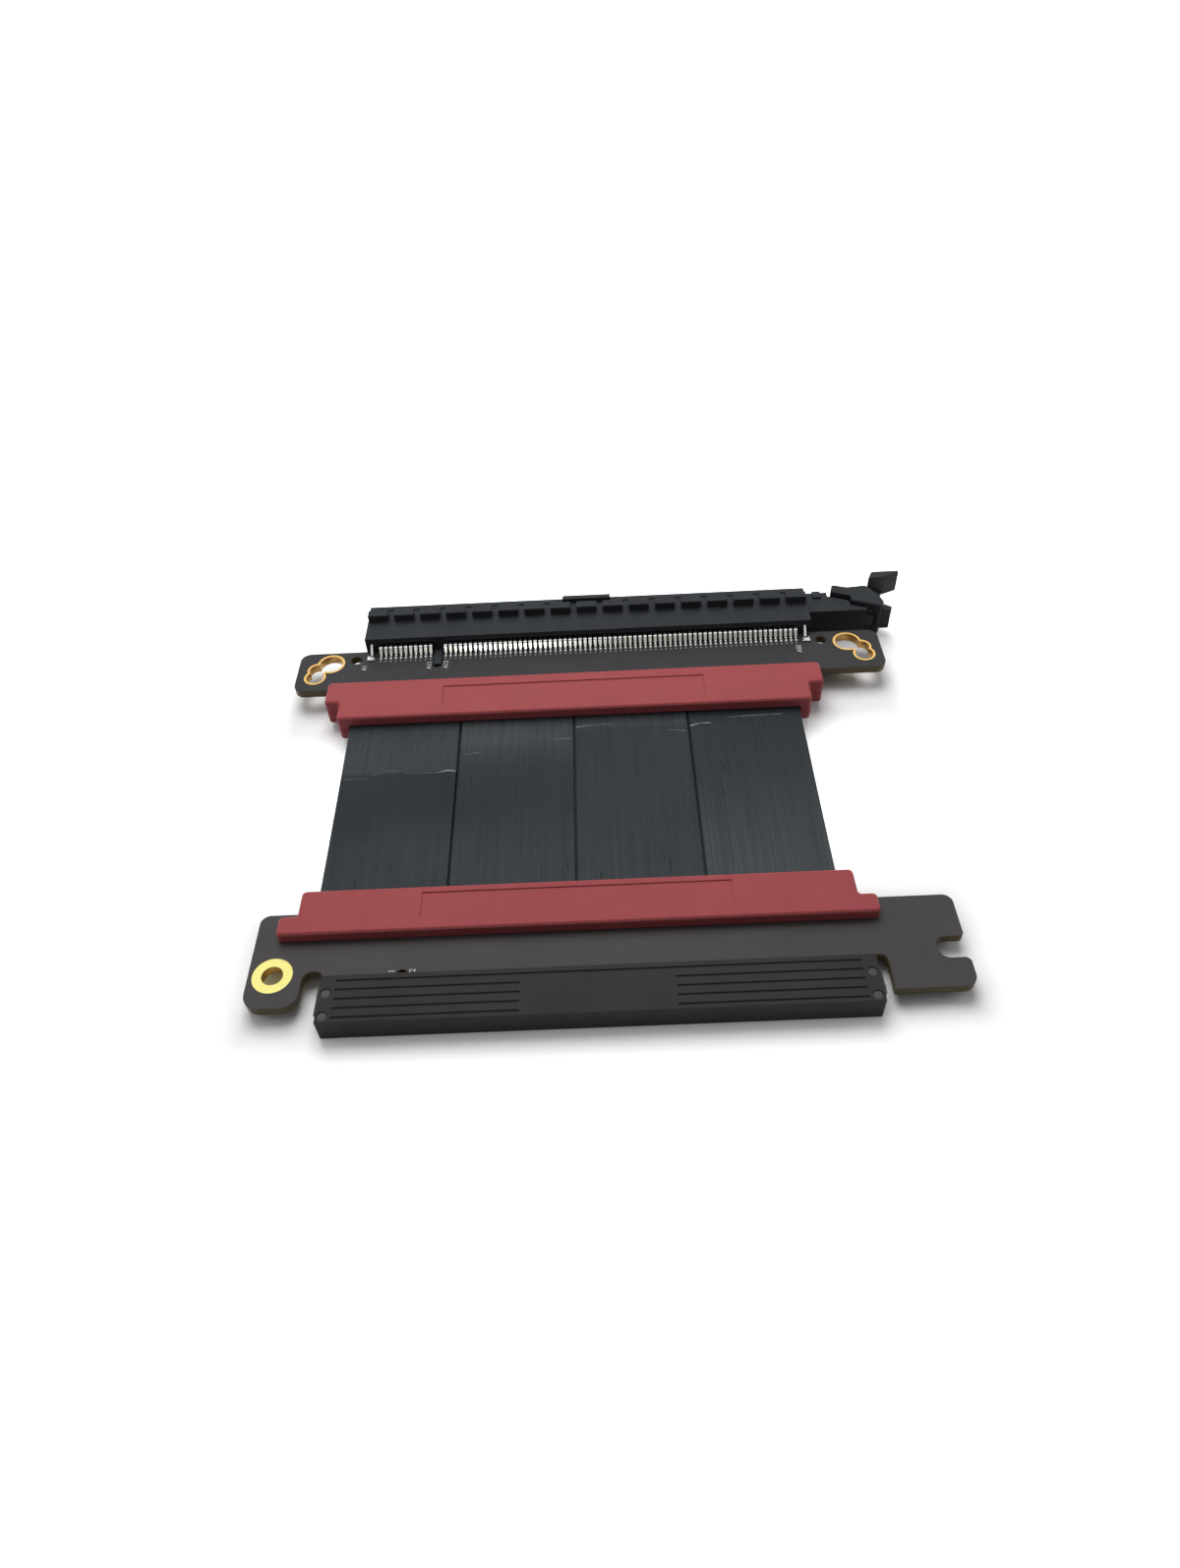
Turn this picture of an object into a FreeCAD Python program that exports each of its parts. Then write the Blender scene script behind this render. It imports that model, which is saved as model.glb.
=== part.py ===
"""Flat extension cable for a card slot: a straddle-mount slot and a card-edge plug joined by ribbon cables.

Millimetres, +Z up, Z = 0 on the table. X runs along the contact rows, with X = 0 at their middle.
Y runs from the plug (-Y) to the slot (+Y), with Y = 0 at the middle of the plug's cover.
"""
import FreeCAD, Part
import os
import re

import Sketcher

SIZES = {
    # Boards and contact rows
    "board_thick": 1.6,
    "contact_pitch": 1.0,
    "short_row": 11,
    "long_row": 71,
    "key_gap": 3.0,
    "fit_gap": 0.1,
    # Slot housing
    "slot_thick": 7.6,
    "slot_depth": 10.4,
    "slot_end_wall": 1.7,
    "slot_back_wall": 2.2,
    "slot_top_wall": 1.1,
    "slot_end_clear": 1.4,
    "mouth_width": 2.0,
    "mouth_depth": 1.6,
    "lip_rise": 0.2,
    "lip_depth": 1.2,
    "key_wall": 1.6,
    "block_count": 17,
    "block_length": 4.0,
    "block_width": 1.9,
    "block_rise": 1.55,
    "block_gap": 1.7,
    "block_margin": 0.2,
    "tab_length": 9.75,
    "tab_rise": 0.95,
    "rib_short": 0.5,
    "rib_clear": 0.15,
    "rib_thick": 2.2,
    # Latch end of the housing
    "pivot_along": 12.8,
    "pivot_deep": 5.1,
    "pivot_radius": 0.9,
    "pin_length": 5.0,
    "cheek_thick": 6.2,
    "cheek_setback": 3.4,
    "cheek_far": 4.6,
    "cheek_end": 0.9,
    "cheek_rib_start": 1.6,
    "cheek_rib_length": 1.7,
    "cheek_rib_width": 2.0,
    "cheek_rib_rise": 0.4,
    "web_thick": 2.4,
    "web_round": 1.4,
    # Latch, measured from its pivot
    "pivot_play": 0.05,
    "latch_thick": 7.6,
    "latch_play": 0.2,
    "latch_clear": 0.6,
    "nose_reach": 7.5,
    "nose_slant": 0.7,
    "nose_near": 3.85,
    "nose_far": 6.2,
    "neck_along": 3.8,
    "neck_slant": 0.2,
    "neck_far": 2.2,
    "neck_near": 0.8,
    "waist_along": 3.9,
    "waist_far": 5.2,
    "toe_along": 1.85,
    "toe_near": 1.5,
    "back_along": 2.65,
    "back_near": 0.25,
    "hollow_along": 2.15,
    "hollow_far": 1.9,
    "shoulder_far": 5.55,
    "heel_start": 1.9,
    "heel_end": 4.5,
    "heel_near": 1.1,
    "heel_far": 0.9,
    "heel_slope": 1.0,
    "heel_slope_run": 1.3,
    "arm_left": 0.5,
    "arm_bend": 5.0,
    "paddle_start": 2.75,
    "paddle_end": 8.4,
    "paddle_near": 10.0,
    "paddle_lip": 11.5,
    "paddle_far": 12.15,
    "paddle_height": 4.7,
    "paddle_round": 0.8,
    "latch_round": 0.5,
    # Spring contacts and solder tabs
    "lead_thick": 0.2,
    "lead_width": 0.5,
    "lead_foot": 2.8,
    "lead_heel": 1.7,
    "lead_knee": 0.6,
    "lead_rise": 1.5,
    "spring_gap": 0.75,
    "tip_clear": 0.4,
    "tip_run": 1.4,
    "spring_tip_gap": 1.35,
    "lead_clear": 0.15,
    "lock_width": 1.6,
    "lock_pin": 0.5,
    "lock_thick": 0.3,
    "lock_inset": 1.2,
    # Socket board
    "strip_overhang": 13.15,
    "strip_depth": 11.3,
    "strip_corner": 2.0,
    "board_step": 1.0,
    "key_slot_length": 5.7,
    "key_slot_width": 1.9,
    "pilot_radius": 1.15,
    "pilot_inset": 11.4,
    "pilot_deep": 2.55,
    "lobe_large": 2.3,
    "lobe_middle": 1.55,
    "lobe_small": 1.7,
    "lobe_large_inset": 6.4,
    "lobe_middle_inset": 3.9,
    "lobe_small_inset": 3.7,
    "lobe_large_deep": 3.4,
    "lobe_middle_deep": 5.1,
    "lobe_small_deep": 7.3,
    "plate_rim": 0.45,
    "plate_thick": 0.05,
    "plate_gap": 0.03,
    # Plug board
    "screw_tab_width": 8.5,
    "hook_arm_width": 12.4,
    "plug_rear_left": 1.1,
    "plug_rear_right": 0.1,
    "rear_step_inset": 14.4,
    "plug_corner": 1.6,
    "tongue_edge": 1.1,
    "tongue_end": 18.7,
    "tongue_chamfer": 1.0,
    "tongue_key": 1.9,
    "tongue_key_end": 10.2,
    "left_notch_width": 2.8,
    "left_notch_top": 9.9,
    "left_notch_round": 1.7,
    "right_notch_width": 1.4,
    "right_notch_top": 10.9,
    "right_notch_round": 1.1,
    "tab_bottom": 16.3,
    "tab_corner": 2.8,
    "hook_upper": 8.1,
    "hook_lower": 12.0,
    "hook_depth": 4.6,
    "hook_upper_corner": 0.6,
    "hook_tip_corner": 0.9,
    "hook_bottom": 17.1,
    "hook_bottom_corner": 2.0,
    "ring_inset": 3.85,
    "ring_deep": 10.45,
    "ring_hole": 1.66,
    "ring_rim": 1.48,
    "ring_wall": 0.15,
    "finger_width": 0.7,
    "finger_length": 4.6,
    "finger_inset": 0.5,
    "finger_thick": 0.04,
    # Edge cap
    "cap_inset": 0.7,
    "cap_depth": 8.2,
    "cap_thick": 4.5,
    "cap_front_wall": 1.1,
    "cap_gap": 0.08,
    "groove_count": 5,
    "groove_first": 1.1,
    "groove_last": 0.74,
    "groove_width": 0.4,
    "groove_deep": 0.25,
    "groove_end": 2.4,
    "panel_gap": 23.5,
    # Covers over the cable joints
    "cover_shift": 3.0,
    "cover_wall": 2.225,
    "cover_ear": 2.9,
    "cover_above": 2.1,
    "cover_below": 1.5,
    "cover_corner": 0.8,
    "cover_inner_corner": 0.6,
    "cover_edge": 0.35,
    "socket_cover_depth": 10.5,
    "socket_ear_depth": 5.9,
    "socket_panel_inset": 2.9,
    "plug_cover_depth": 8.6,
    "plug_ear_depth": 3.65,
    "plug_panel_inset": 1.3,
    "panel_length": 49.6,
    "panel_width": 5.1,
    "panel_deep": 0.2,
    # Ribbon cables
    "ribbon_count": 4,
    "ribbon_pitch": 21.15,
    "ribbon_gap": 0.25,
    "ribbon_thick": 0.78,
    "ribbon_layers_gap": 0.04,
    "ribbon_span": 39.2,
    "ribbon_exit": 0.8,
    "ribbon_rise_run": 1.8,
    "ribbon_overlap": 2.6,
}

# Places worked out from the sizes
ROW_SPAN = "(contact_pitch * (short_row + long_row - 2) + key_gap)"
ROW_START = f"(-{ROW_SPAN} / 2)"
KEY_X = f"({ROW_START} + contact_pitch * (short_row - 1) + key_gap / 2)"
LONG_START = f"({KEY_X} + key_gap / 2)"
ROW_GROUPS = ((ROW_START, "short_row"), (LONG_START, "long_row"))
BOARD_HALF = "(board_thick / 2)"
SLOT_HALF = "(slot_thick / 2)"
SLOT_INNER = f"({ROW_SPAN} / 2 + slot_end_clear)"
SLOT_END = f"({SLOT_INNER} + slot_end_wall)"
BLOCK_PITCH = f"((2 * ({SLOT_END} - block_margin) - block_length) / (block_count - 1))"
SPRING_TIP = "(slot_depth - mouth_depth - tip_clear)"
SPRING_BOW = f"({SPRING_TIP} - tip_run)"
STRIP_HALF = f"({SLOT_END} + strip_overhang)"
PIVOT_X = f"({SLOT_END} + pivot_along)"
TOE_SLOPE = "((neck_near + toe_near) / (neck_along + toe_along))"
PLUG_MID = f"(cover_below + {BOARD_HALF})"
PLUG_REAR = "(plug_cover_depth / 2)"
SOCKET_FRONT = f"({PLUG_REAR} + ribbon_span)"
STRIP_EDGE = f"({SOCKET_FRONT} + socket_cover_depth + fit_gap)"
SLOT_FACE = f"({STRIP_EDGE} + strip_depth + fit_gap)"
RIBBONS_HALF = "((ribbon_count * ribbon_pitch - ribbon_gap) / 2)"
COVER_NARROW = f"({RIBBONS_HALF} + cover_wall)"
COVER_WIDE = f"({COVER_NARROW} + cover_ear)"
INNER_DEPTH = "(socket_cover_depth + fit_gap - ribbon_exit - ribbon_rise_run - board_step)"
LEAD_KNEE = f"({BOARD_HALF} + lead_rise)"
BED_HALF = f"({RIBBONS_HALF} + 2 * fit_gap)"
RIBBON_END = "(ribbon_exit + ribbon_rise_run + ribbon_overlap)"
TONGUE_HALF = f"({ROW_SPAN} / 2 + tongue_edge)"
PLUG_LEFT = f"({TONGUE_HALF} + left_notch_width + screw_tab_width)"
PLUG_RIGHT = f"({TONGUE_HALF} + right_notch_width + hook_arm_width)"
HOOK_GAP = "(hook_lower - hook_upper)"
RING_X = f"({PLUG_LEFT} - ring_inset)"
CAP_HALF = f"({TONGUE_HALF} - cap_inset)"
GROOVE_HALF = f"({CAP_HALF} - groove_end)"
GROOVE_PITCH = "((cap_depth - groove_first - groove_last) / (groove_count - 1))"
CAP_SLOT_HALF = f"({BOARD_HALF} + finger_thick + cap_gap)"
CAP_REAR = "(cap_depth - cap_front_wall - fit_gap)"

doc = FreeCAD.newDocument("extension_cable")
sheet = doc.addObject("Spreadsheet::Sheet", "Sheet")
for row, (name, size) in enumerate(SIZES.items(), 1):
    sheet.set(f"A{row}", name)
    sheet.set(f"B{row}", str(size))
    sheet.setAlias(f"B{row}", name)
doc.recompute()
nodes = []


def bind(formula):
    """Formula with every size's name turned into a reference to its cell."""
    return re.sub(r"[a-z_]+", lambda found: ("Sheet." if found[0] in SIZES else "") + found[0], formula)


def value(formula):
    """Number that a formula of the sizes gives now."""
    return float(sheet.evalExpression(bind(formula)))


def place(thing, x="0", y="0", z="0"):
    """Bind the origin of a document object to three formulas."""
    for axis, formula in zip("xyz", (x, y, z)):
        thing.setExpression(f"Placement.Base.{axis}", bind(formula))


def new_body(label, x="0", y="0", z="0"):
    """Empty body for one sub-part, with its place bound to the sizes."""
    body = doc.addObject("PartDesign::Body", label)
    body.Label = label
    place(body, x, y, z)
    nodes.append(body)
    return body


def origin_of(body, role):
    """One of the body's own origin planes or axes, found by its role."""
    return next(feature for feature in body.Origin.OriginFeatures if feature.Role == role)


def new_sketch(body, plane, lift):
    """Empty sketch on one of the body's own planes, lifted along the plane's normal."""
    sketch = body.newObject("Sketcher::SketchObject", "sketch")
    sketch.AttachmentSupport = [(origin_of(body, plane), "")]
    sketch.MapMode = "FlatFace"
    sketch.setExpression("AttachmentOffset.Base.z", bind(lift))
    return sketch


def limit(sketch, kind, places, formula):
    """Dimension of a sketch, bound to a formula of the sizes."""
    index = sketch.addConstraint(Sketcher.Constraint(kind, *places, value(formula)))
    sketch.setExpression(f"Constraints[{index}]", bind(formula))


def add_loop(sketch, corners):
    """Closed straight-sided loop whose corners are pairs of formulas."""
    first = sketch.GeometryCount
    count = len(corners)
    points = [FreeCAD.Vector(value(across), value(up), 0) for across, up in corners]
    for index, point in enumerate(points):
        sketch.addGeometry(Part.LineSegment(point, points[(index + 1) % count]))
    for index in range(count):
        following = first + (index + 1) % count
        sketch.addConstraint(Sketcher.Constraint("Coincident", first + index, 2, following, 1))
    for index, (across, up) in enumerate(corners):
        limit(sketch, "DistanceX", (-1, 1, first + index, 1), across)
        limit(sketch, "DistanceY", (-1, 1, first + index, 1), up)


def loop(body, plane, corners, lift="0"):
    """Sketch with one closed straight-sided loop."""
    sketch = new_sketch(body, plane, lift)
    add_loop(sketch, corners)
    return sketch


def box(left, right, low, high):
    """Corners of a rectangle between four formulas."""
    return [(left, low), (right, low), (right, high), (left, high)]


def discs(body, plane, circles, lift="0"):
    """Sketch with separate circles, each given by two centre formulas and a radius formula."""
    sketch = new_sketch(body, plane, lift)
    for index, (across, up, radius) in enumerate(circles):
        centre = FreeCAD.Vector(value(across), value(up), 0)
        sketch.addGeometry(Part.Circle(centre, FreeCAD.Vector(0, 0, 1), value(radius)))
        limit(sketch, "DistanceX", (-1, 1, index, 3), across)
        limit(sketch, "DistanceY", (-1, 1, index, 3), up)
        limit(sketch, "Radius", (index,), radius)
    return sketch


def grow(kind, body, sketch, length, symmetric=False, reverse=False):
    """Pad or pocket of a sketch by a formula's length."""
    feature = body.newObject(f"PartDesign::{kind}", kind.lower())
    feature.Profile = sketch
    feature.setExpression("Length", bind(length))
    feature.SideType = "Symmetric" if symmetric else "One side"
    feature.Reversed = reverse
    return feature


def pad(body, sketch, length, symmetric=False, reverse=False):
    """Solid grown from a sketch along its normal."""
    return grow("Pad", body, sketch, length, symmetric, reverse)


def pocket(body, sketch, length, symmetric=False, reverse=False):
    """Cut from a sketch against its normal, or along it if reversed."""
    return grow("Pocket", body, sketch, length, symmetric, reverse)


def repeat(body, feature, axis, count, pitch, reverse=False):
    """Row of copies of a feature along one of the body's axes."""
    row = body.newObject("PartDesign::LinearPattern", "row")
    row.Originals = [feature]
    row.Direction = (origin_of(body, axis), [""])
    row.Reversed = reverse
    row.setExpression("Length", bind(f"{pitch} * ({count} - 1)"))
    row.setExpression("Occurrences", bind(count))
    body.Tip = row
    return row


def ease(kind, body, size, chosen):
    """Fillet or chamfer on the edges that a test picks from the body as it stands."""
    doc.recompute()
    tip = body.Tip
    names = [f"Edge{index}" for index, edge in enumerate(tip.Shape.Edges, 1) if chosen(edge)]
    feature = body.newObject(f"PartDesign::{kind}", kind.lower())
    feature.Base = (tip, names)
    feature.setExpression("Radius" if kind == "Fillet" else "Size", bind(size))
    body.Tip = feature


def round_edges(body, radius, chosen):
    """Fillet on picked edges."""
    ease("Fillet", body, radius, chosen)


def upright_at(corners):
    """Test for upright edges that stand at given corners of an outline."""
    spots = [FreeCAD.Vector(value(across), value(up), 0) for across, up in corners]

    def chosen(edge):
        start, end = (vertex.Point for vertex in (edge.Vertexes[0], edge.Vertexes[-1]))
        flat = FreeCAD.Vector(start.x, start.y, 0)
        return (start - end).cross(FreeCAD.Vector(0, 0, 1)).Length < 1e-6 and any(
            (flat - spot).Length < 1e-6 for spot in spots)

    return chosen


def rim_at(height):
    """Test for straight outline edges that lie at one height."""
    level = value(height)

    def chosen(edge):
        return all(abs(vertex.Z - level) < 1e-6 for vertex in edge.Vertexes)

    return chosen


def cylinder(x, y, z, radius, length):
    """Upright cylinder with its foot at x, y, z."""
    shape = doc.addObject("Part::Cylinder", "cylinder")
    shape.setExpression("Radius", bind(radius))
    shape.setExpression("Height", bind(length))
    place(shape, x, y, z)
    return shape


def joined(shapes):
    """Union of several shapes."""
    union = doc.addObject("Part::MultiFuse", "union")
    union.Shapes = shapes
    return union


def lobes(side, extra, low, length):
    """Three overlapping cylinders of a mounting hole at one end of the socket board."""
    far_edge = f"{STRIP_EDGE} + strip_depth"
    return [
        cylinder(f"{side} * ({STRIP_HALF} - lobe_{size}_inset)", f"{far_edge} - lobe_{size}_deep",
                 f"{SLOT_HALF} + {low}", f"lobe_{size} + {extra}", length)
        for size in ("large", "middle", "small")
    ]


def build_socket_board():
    """Board strip under the slot, with its mounting holes, and the inner part that enters the cover."""
    blank = doc.addObject("PartDesign::Body", "socket_board_blank")
    place(blank, y=STRIP_EDGE, z=SLOT_HALF)
    corners = box(f"-{STRIP_HALF}", STRIP_HALF, "0", "strip_depth")
    pad(blank, loop(blank, "XY_Plane", corners), "board_thick", symmetric=True)
    round_edges(blank, "strip_corner", upright_at(corners))
    inner = box(f"-cover_shift - {RIBBONS_HALF}", f"-cover_shift + {RIBBONS_HALF}",
                f"-{INNER_DEPTH}", "strip_corner")
    pad(blank, loop(blank, "XY_Plane", inner), "board_thick", symmetric=True)
    key_half = "key_slot_width / 2"
    key_end = f"strip_depth - key_slot_length + {key_half}"
    key = box(f"{KEY_X} - {key_half}", f"{KEY_X} + {key_half}", key_end, "strip_depth")
    pocket(blank, loop(blank, "XY_Plane", key), "board_thick", symmetric=True)
    pilot = f"({STRIP_HALF} - pilot_inset)"
    pilot_y = "strip_depth - pilot_deep"
    rounds = [(f"-{pilot}", pilot_y, "pilot_radius"), (pilot, pilot_y, "pilot_radius"),
              (KEY_X, key_end, key_half)]
    pocket(blank, discs(blank, "XY_Plane", rounds), "board_thick", symmetric=True)
    holes = [hole for side in ("-1", "1")
             for hole in lobes(side, "plate_rim + plate_gap", "-board_thick", "2 * board_thick")]
    board = doc.addObject("Part::Cut", "socket_board")
    board.Label = "socket_board"
    board.Base = blank
    board.Tool = joined(holes)
    nodes.append(board)


def build_mount_plating(label, side):
    """Gold lining of one three-lobed mounting hole, standing just proud of both faces of the board."""
    plating = doc.addObject("Part::Cut", label)
    plating.Label = label
    low = f"-({BOARD_HALF} + plate_thick)"
    plating.Base = joined(lobes(side, "plate_rim", low, "board_thick + 2 * plate_thick"))
    plating.Tool = joined(lobes(side, "0", "-board_thick", "2 * board_thick"))
    nodes.append(plating)


def build_housing():
    """Slot housing: a hollow beam with a mouth, a key wall, raised blocks and an end for the latch."""
    body = new_body("socket_housing", y=SLOT_FACE, z=SLOT_HALF)
    inside = f"({SLOT_HALF} - slot_top_wall)"
    mouth = "mouth_width / 2"
    lip_start = "(slot_depth - lip_depth)"
    half = [("slot_depth", mouth), ("slot_depth - mouth_depth", mouth), ("slot_depth - mouth_depth", inside),
            ("slot_back_wall", inside)]
    lower = [(along, f"-{height}") for along, height in reversed(half)]
    lip = [("0", SLOT_HALF), (lip_start, SLOT_HALF), (lip_start, f"{SLOT_HALF} + lip_rise"),
           ("slot_depth", f"{SLOT_HALF} + lip_rise")]
    profile = [*lip, *half, *lower, ("slot_depth", f"-{SLOT_HALF}"), ("0", f"-{SLOT_HALF}")]
    pad(body, loop(body, "YZ_Plane", profile), f"2 * {SLOT_END}", symmetric=True)
    for left, right in ((f"-{SLOT_END}", f"-{SLOT_INNER}"), (SLOT_INNER, SLOT_END),
                        (f"{KEY_X} - key_wall / 2", f"{KEY_X} + key_wall / 2")):
        wall = box(left, right, "slot_back_wall / 2", "slot_depth")
        pad(body, loop(body, "XY_Plane", wall), f"2 * {inside} + slot_top_wall", symmetric=True)
    build_lead_channels(body)
    far = f"{lip_start} - block_gap"
    first = box(f"-{SLOT_END} + block_margin", f"-{SLOT_END} + block_margin + block_length",
                f"{far} - block_width", far)
    block = pad(body, loop(body, "XY_Plane", first, inside), f"{SLOT_HALF} + block_rise - {inside}")
    repeat(body, block, "X_Axis", "block_count", BLOCK_PITCH)
    tab = box("-tab_length / 2", "tab_length / 2", lip_start, "slot_depth")
    pad(body, loop(body, "XY_Plane", tab, mouth), f"{SLOT_HALF} + tab_rise - {mouth}")
    rib_half = "(key_slot_width / 2 - rib_clear)"
    rib = box(f"{KEY_X} - {rib_half}", f"{KEY_X} + {rib_half}",
              "rib_short - key_slot_length", "slot_back_wall")
    pad(body, loop(body, "XY_Plane", rib), "rib_thick", symmetric=True)
    build_latch_end(body)


def build_lead_channels(body):
    """Channels through the back wall, one for each group of contact leads above and below."""
    drop = f"({LEAD_KNEE} - spring_gap) * (lead_knee + slot_back_wall) / (lead_knee + {SPRING_BOW})"
    low = f"({LEAD_KNEE} - {drop} - lead_clear)"
    high = f"({LEAD_KNEE} + lead_thick + lead_clear)"
    margin = "(lead_width / 2 + lead_clear)"
    for start, count in ROW_GROUPS:
        end = f"{start} + contact_pitch * ({count} - 1)"
        channel = box(f"{start} - {margin}", f"{end} + {margin}", "0", "slot_back_wall")
        for lift, reverse in ((low, True), (f"-{low}", False)):
            pocket(body, loop(body, "XY_Plane", channel, lift), f"{high} - {low}", reverse=reverse)


def build_latch_end(body):
    """Cheek beyond the slot, with a thin round-ended web and a short pin on it for the latch to turn on."""
    end_x = f"{PIVOT_X} - cheek_end"
    neck_x = f"{PIVOT_X} - neck_along - latch_play"
    nose_x = f"{PIVOT_X} - nose_reach - latch_clear"
    near = "pivot_deep - latch_clear"
    far = "pivot_deep + cheek_far"
    cheek = [
        (SLOT_INNER, "cheek_setback"), (end_x, "cheek_setback"),
        (end_x, f"{near} + neck_near - {TOE_SLOPE} * (neck_along - cheek_end)"),
        (neck_x, f"{near} + neck_near"), (neck_x, f"{near} + neck_far"), (nose_x, f"{near} + nose_near"),
        (nose_x, far), (SLOT_INNER, far),
    ]
    pad(body, loop(body, "XY_Plane", cheek), "cheek_thick", symmetric=True)
    rib_left = f"{SLOT_END} + cheek_rib_start"
    rib = box(rib_left, f"{rib_left} + cheek_rib_length", f"{far} - cheek_rib_width", far)
    pad(body, loop(body, "XY_Plane", rib), "cheek_thick / 2 + cheek_rib_rise")
    web = box(f"{PIVOT_X} - nose_reach", PIVOT_X, "pivot_deep - web_round", "pivot_deep + web_round")
    pad(body, loop(body, "XY_Plane", web), "web_thick", symmetric=True)
    pad(body, discs(body, "XY_Plane", [(PIVOT_X, "pivot_deep", "web_round")]), "web_thick", symmetric=True)
    pin = discs(body, "XY_Plane", [(PIVOT_X, "pivot_deep", "pivot_radius")])
    pad(body, pin, "pin_length", symmetric=True)


def build_latch():
    """Card latch: forked plates on the pivot pin with a nose, a heel, and an arm to an upright paddle."""
    body = new_body("latch", PIVOT_X, f"{SLOT_FACE} + pivot_deep", SLOT_HALF)
    nose = [("nose_slant - nose_reach", "nose_far"), ("-nose_reach", "nose_near")]
    neck = [("neck_slant - neck_along", "neck_far"), ("-neck_along", "neck_near")]
    back = [("toe_along", "-toe_near"), ("back_along", "-back_near")]
    hollow = ("hollow_along", "hollow_far")
    waist = ("-waist_along", "waist_far")
    outline = [*nose, *neck, *back, hollow, ("0", "shoulder_far"), waist]
    pad(body, loop(body, "XY_Plane", outline), "latch_thick", symmetric=True)
    round_edges(body, "latch_round", upright_at(nose))
    round_edges(body, "2 * latch_round", upright_at([waist]))
    corner = ("paddle_start", "paddle_far")
    arm = [("-arm_left", "shoulder_far - latch_round"), ("0", "hollow_far"), hollow, ("arm_bend", "paddle_near")]
    paddle = [("paddle_end", "paddle_lip"), ("paddle_end", "paddle_far"), corner]
    pad(body, loop(body, "XY_Plane", [*arm, *paddle]), "paddle_height", symmetric=True)
    round_edges(body, "paddle_round", upright_at([corner]))
    heel = [("heel_start", "-heel_near"), ("heel_end - heel_slope_run / 4", "-heel_near"),
            ("heel_end", "heel_far - heel_slope"), ("heel_end - heel_slope_run", "heel_far"),
            ("heel_start", "heel_far")]
    pad(body, loop(body, "XY_Plane", heel), "paddle_height", symmetric=True)
    reach = "(web_round + latch_play)"
    fork = "web_thick + 2 * latch_play"
    pocket(body, loop(body, "XY_Plane", box("-nose_reach", "0", "-toe_near", reach)), fork, symmetric=True)
    pocket(body, discs(body, "XY_Plane", [("0", "0", reach)]), fork, symmetric=True)
    hole = discs(body, "XY_Plane", [("0", "0", "pivot_radius + pivot_play")])
    pocket(body, hole, "pin_length + latch_play", symmetric=True)


def lead_profile(side):
    """Bent strip of one spring contact, thinned at its foot and tip; side is 1 above the board, -1 below."""
    under = [("-lead_foot", BOARD_HALF), ("-lead_heel", BOARD_HALF), ("-lead_knee", LEAD_KNEE),
             (SPRING_BOW, "spring_gap"), (SPRING_TIP, "spring_tip_gap")]
    over = [(along, f"{height} + lead_thick") for along, height in under[1:-1]]
    return [(along, f"{side} * ({height})") for along, height in under + over[::-1]]


def build_contacts(label, side):
    """Row of spring contacts on one face of the board, in two groups beside the key."""
    body = new_body(label, y=SLOT_FACE, z=SLOT_HALF)
    for start, count in ROW_GROUPS:
        strip = pad(body, loop(body, "YZ_Plane", lead_profile(side), start), "lead_width", symmetric=True)
        repeat(body, strip, "X_Axis", count, "contact_pitch")


def build_board_lock(label, side):
    """Solder tab that holds one end of the housing on the board."""
    body = new_body(label, f"{side} * ({SLOT_END} - lock_inset)", SLOT_FACE, SLOT_HALF)
    foot = box("-lead_foot - lock_thick", "-lead_heel", BOARD_HALF, f"{BOARD_HALF} + lock_thick")
    pad(body, loop(body, "YZ_Plane", foot), "lock_width", symmetric=True)
    pin = [("-lead_heel - lock_thick", BOARD_HALF), ("-lead_heel", BOARD_HALF), ("0", LEAD_KNEE),
           ("0", f"{LEAD_KNEE} + lock_thick")]
    pad(body, loop(body, "YZ_Plane", pin), "lock_pin", symmetric=True)


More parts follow.
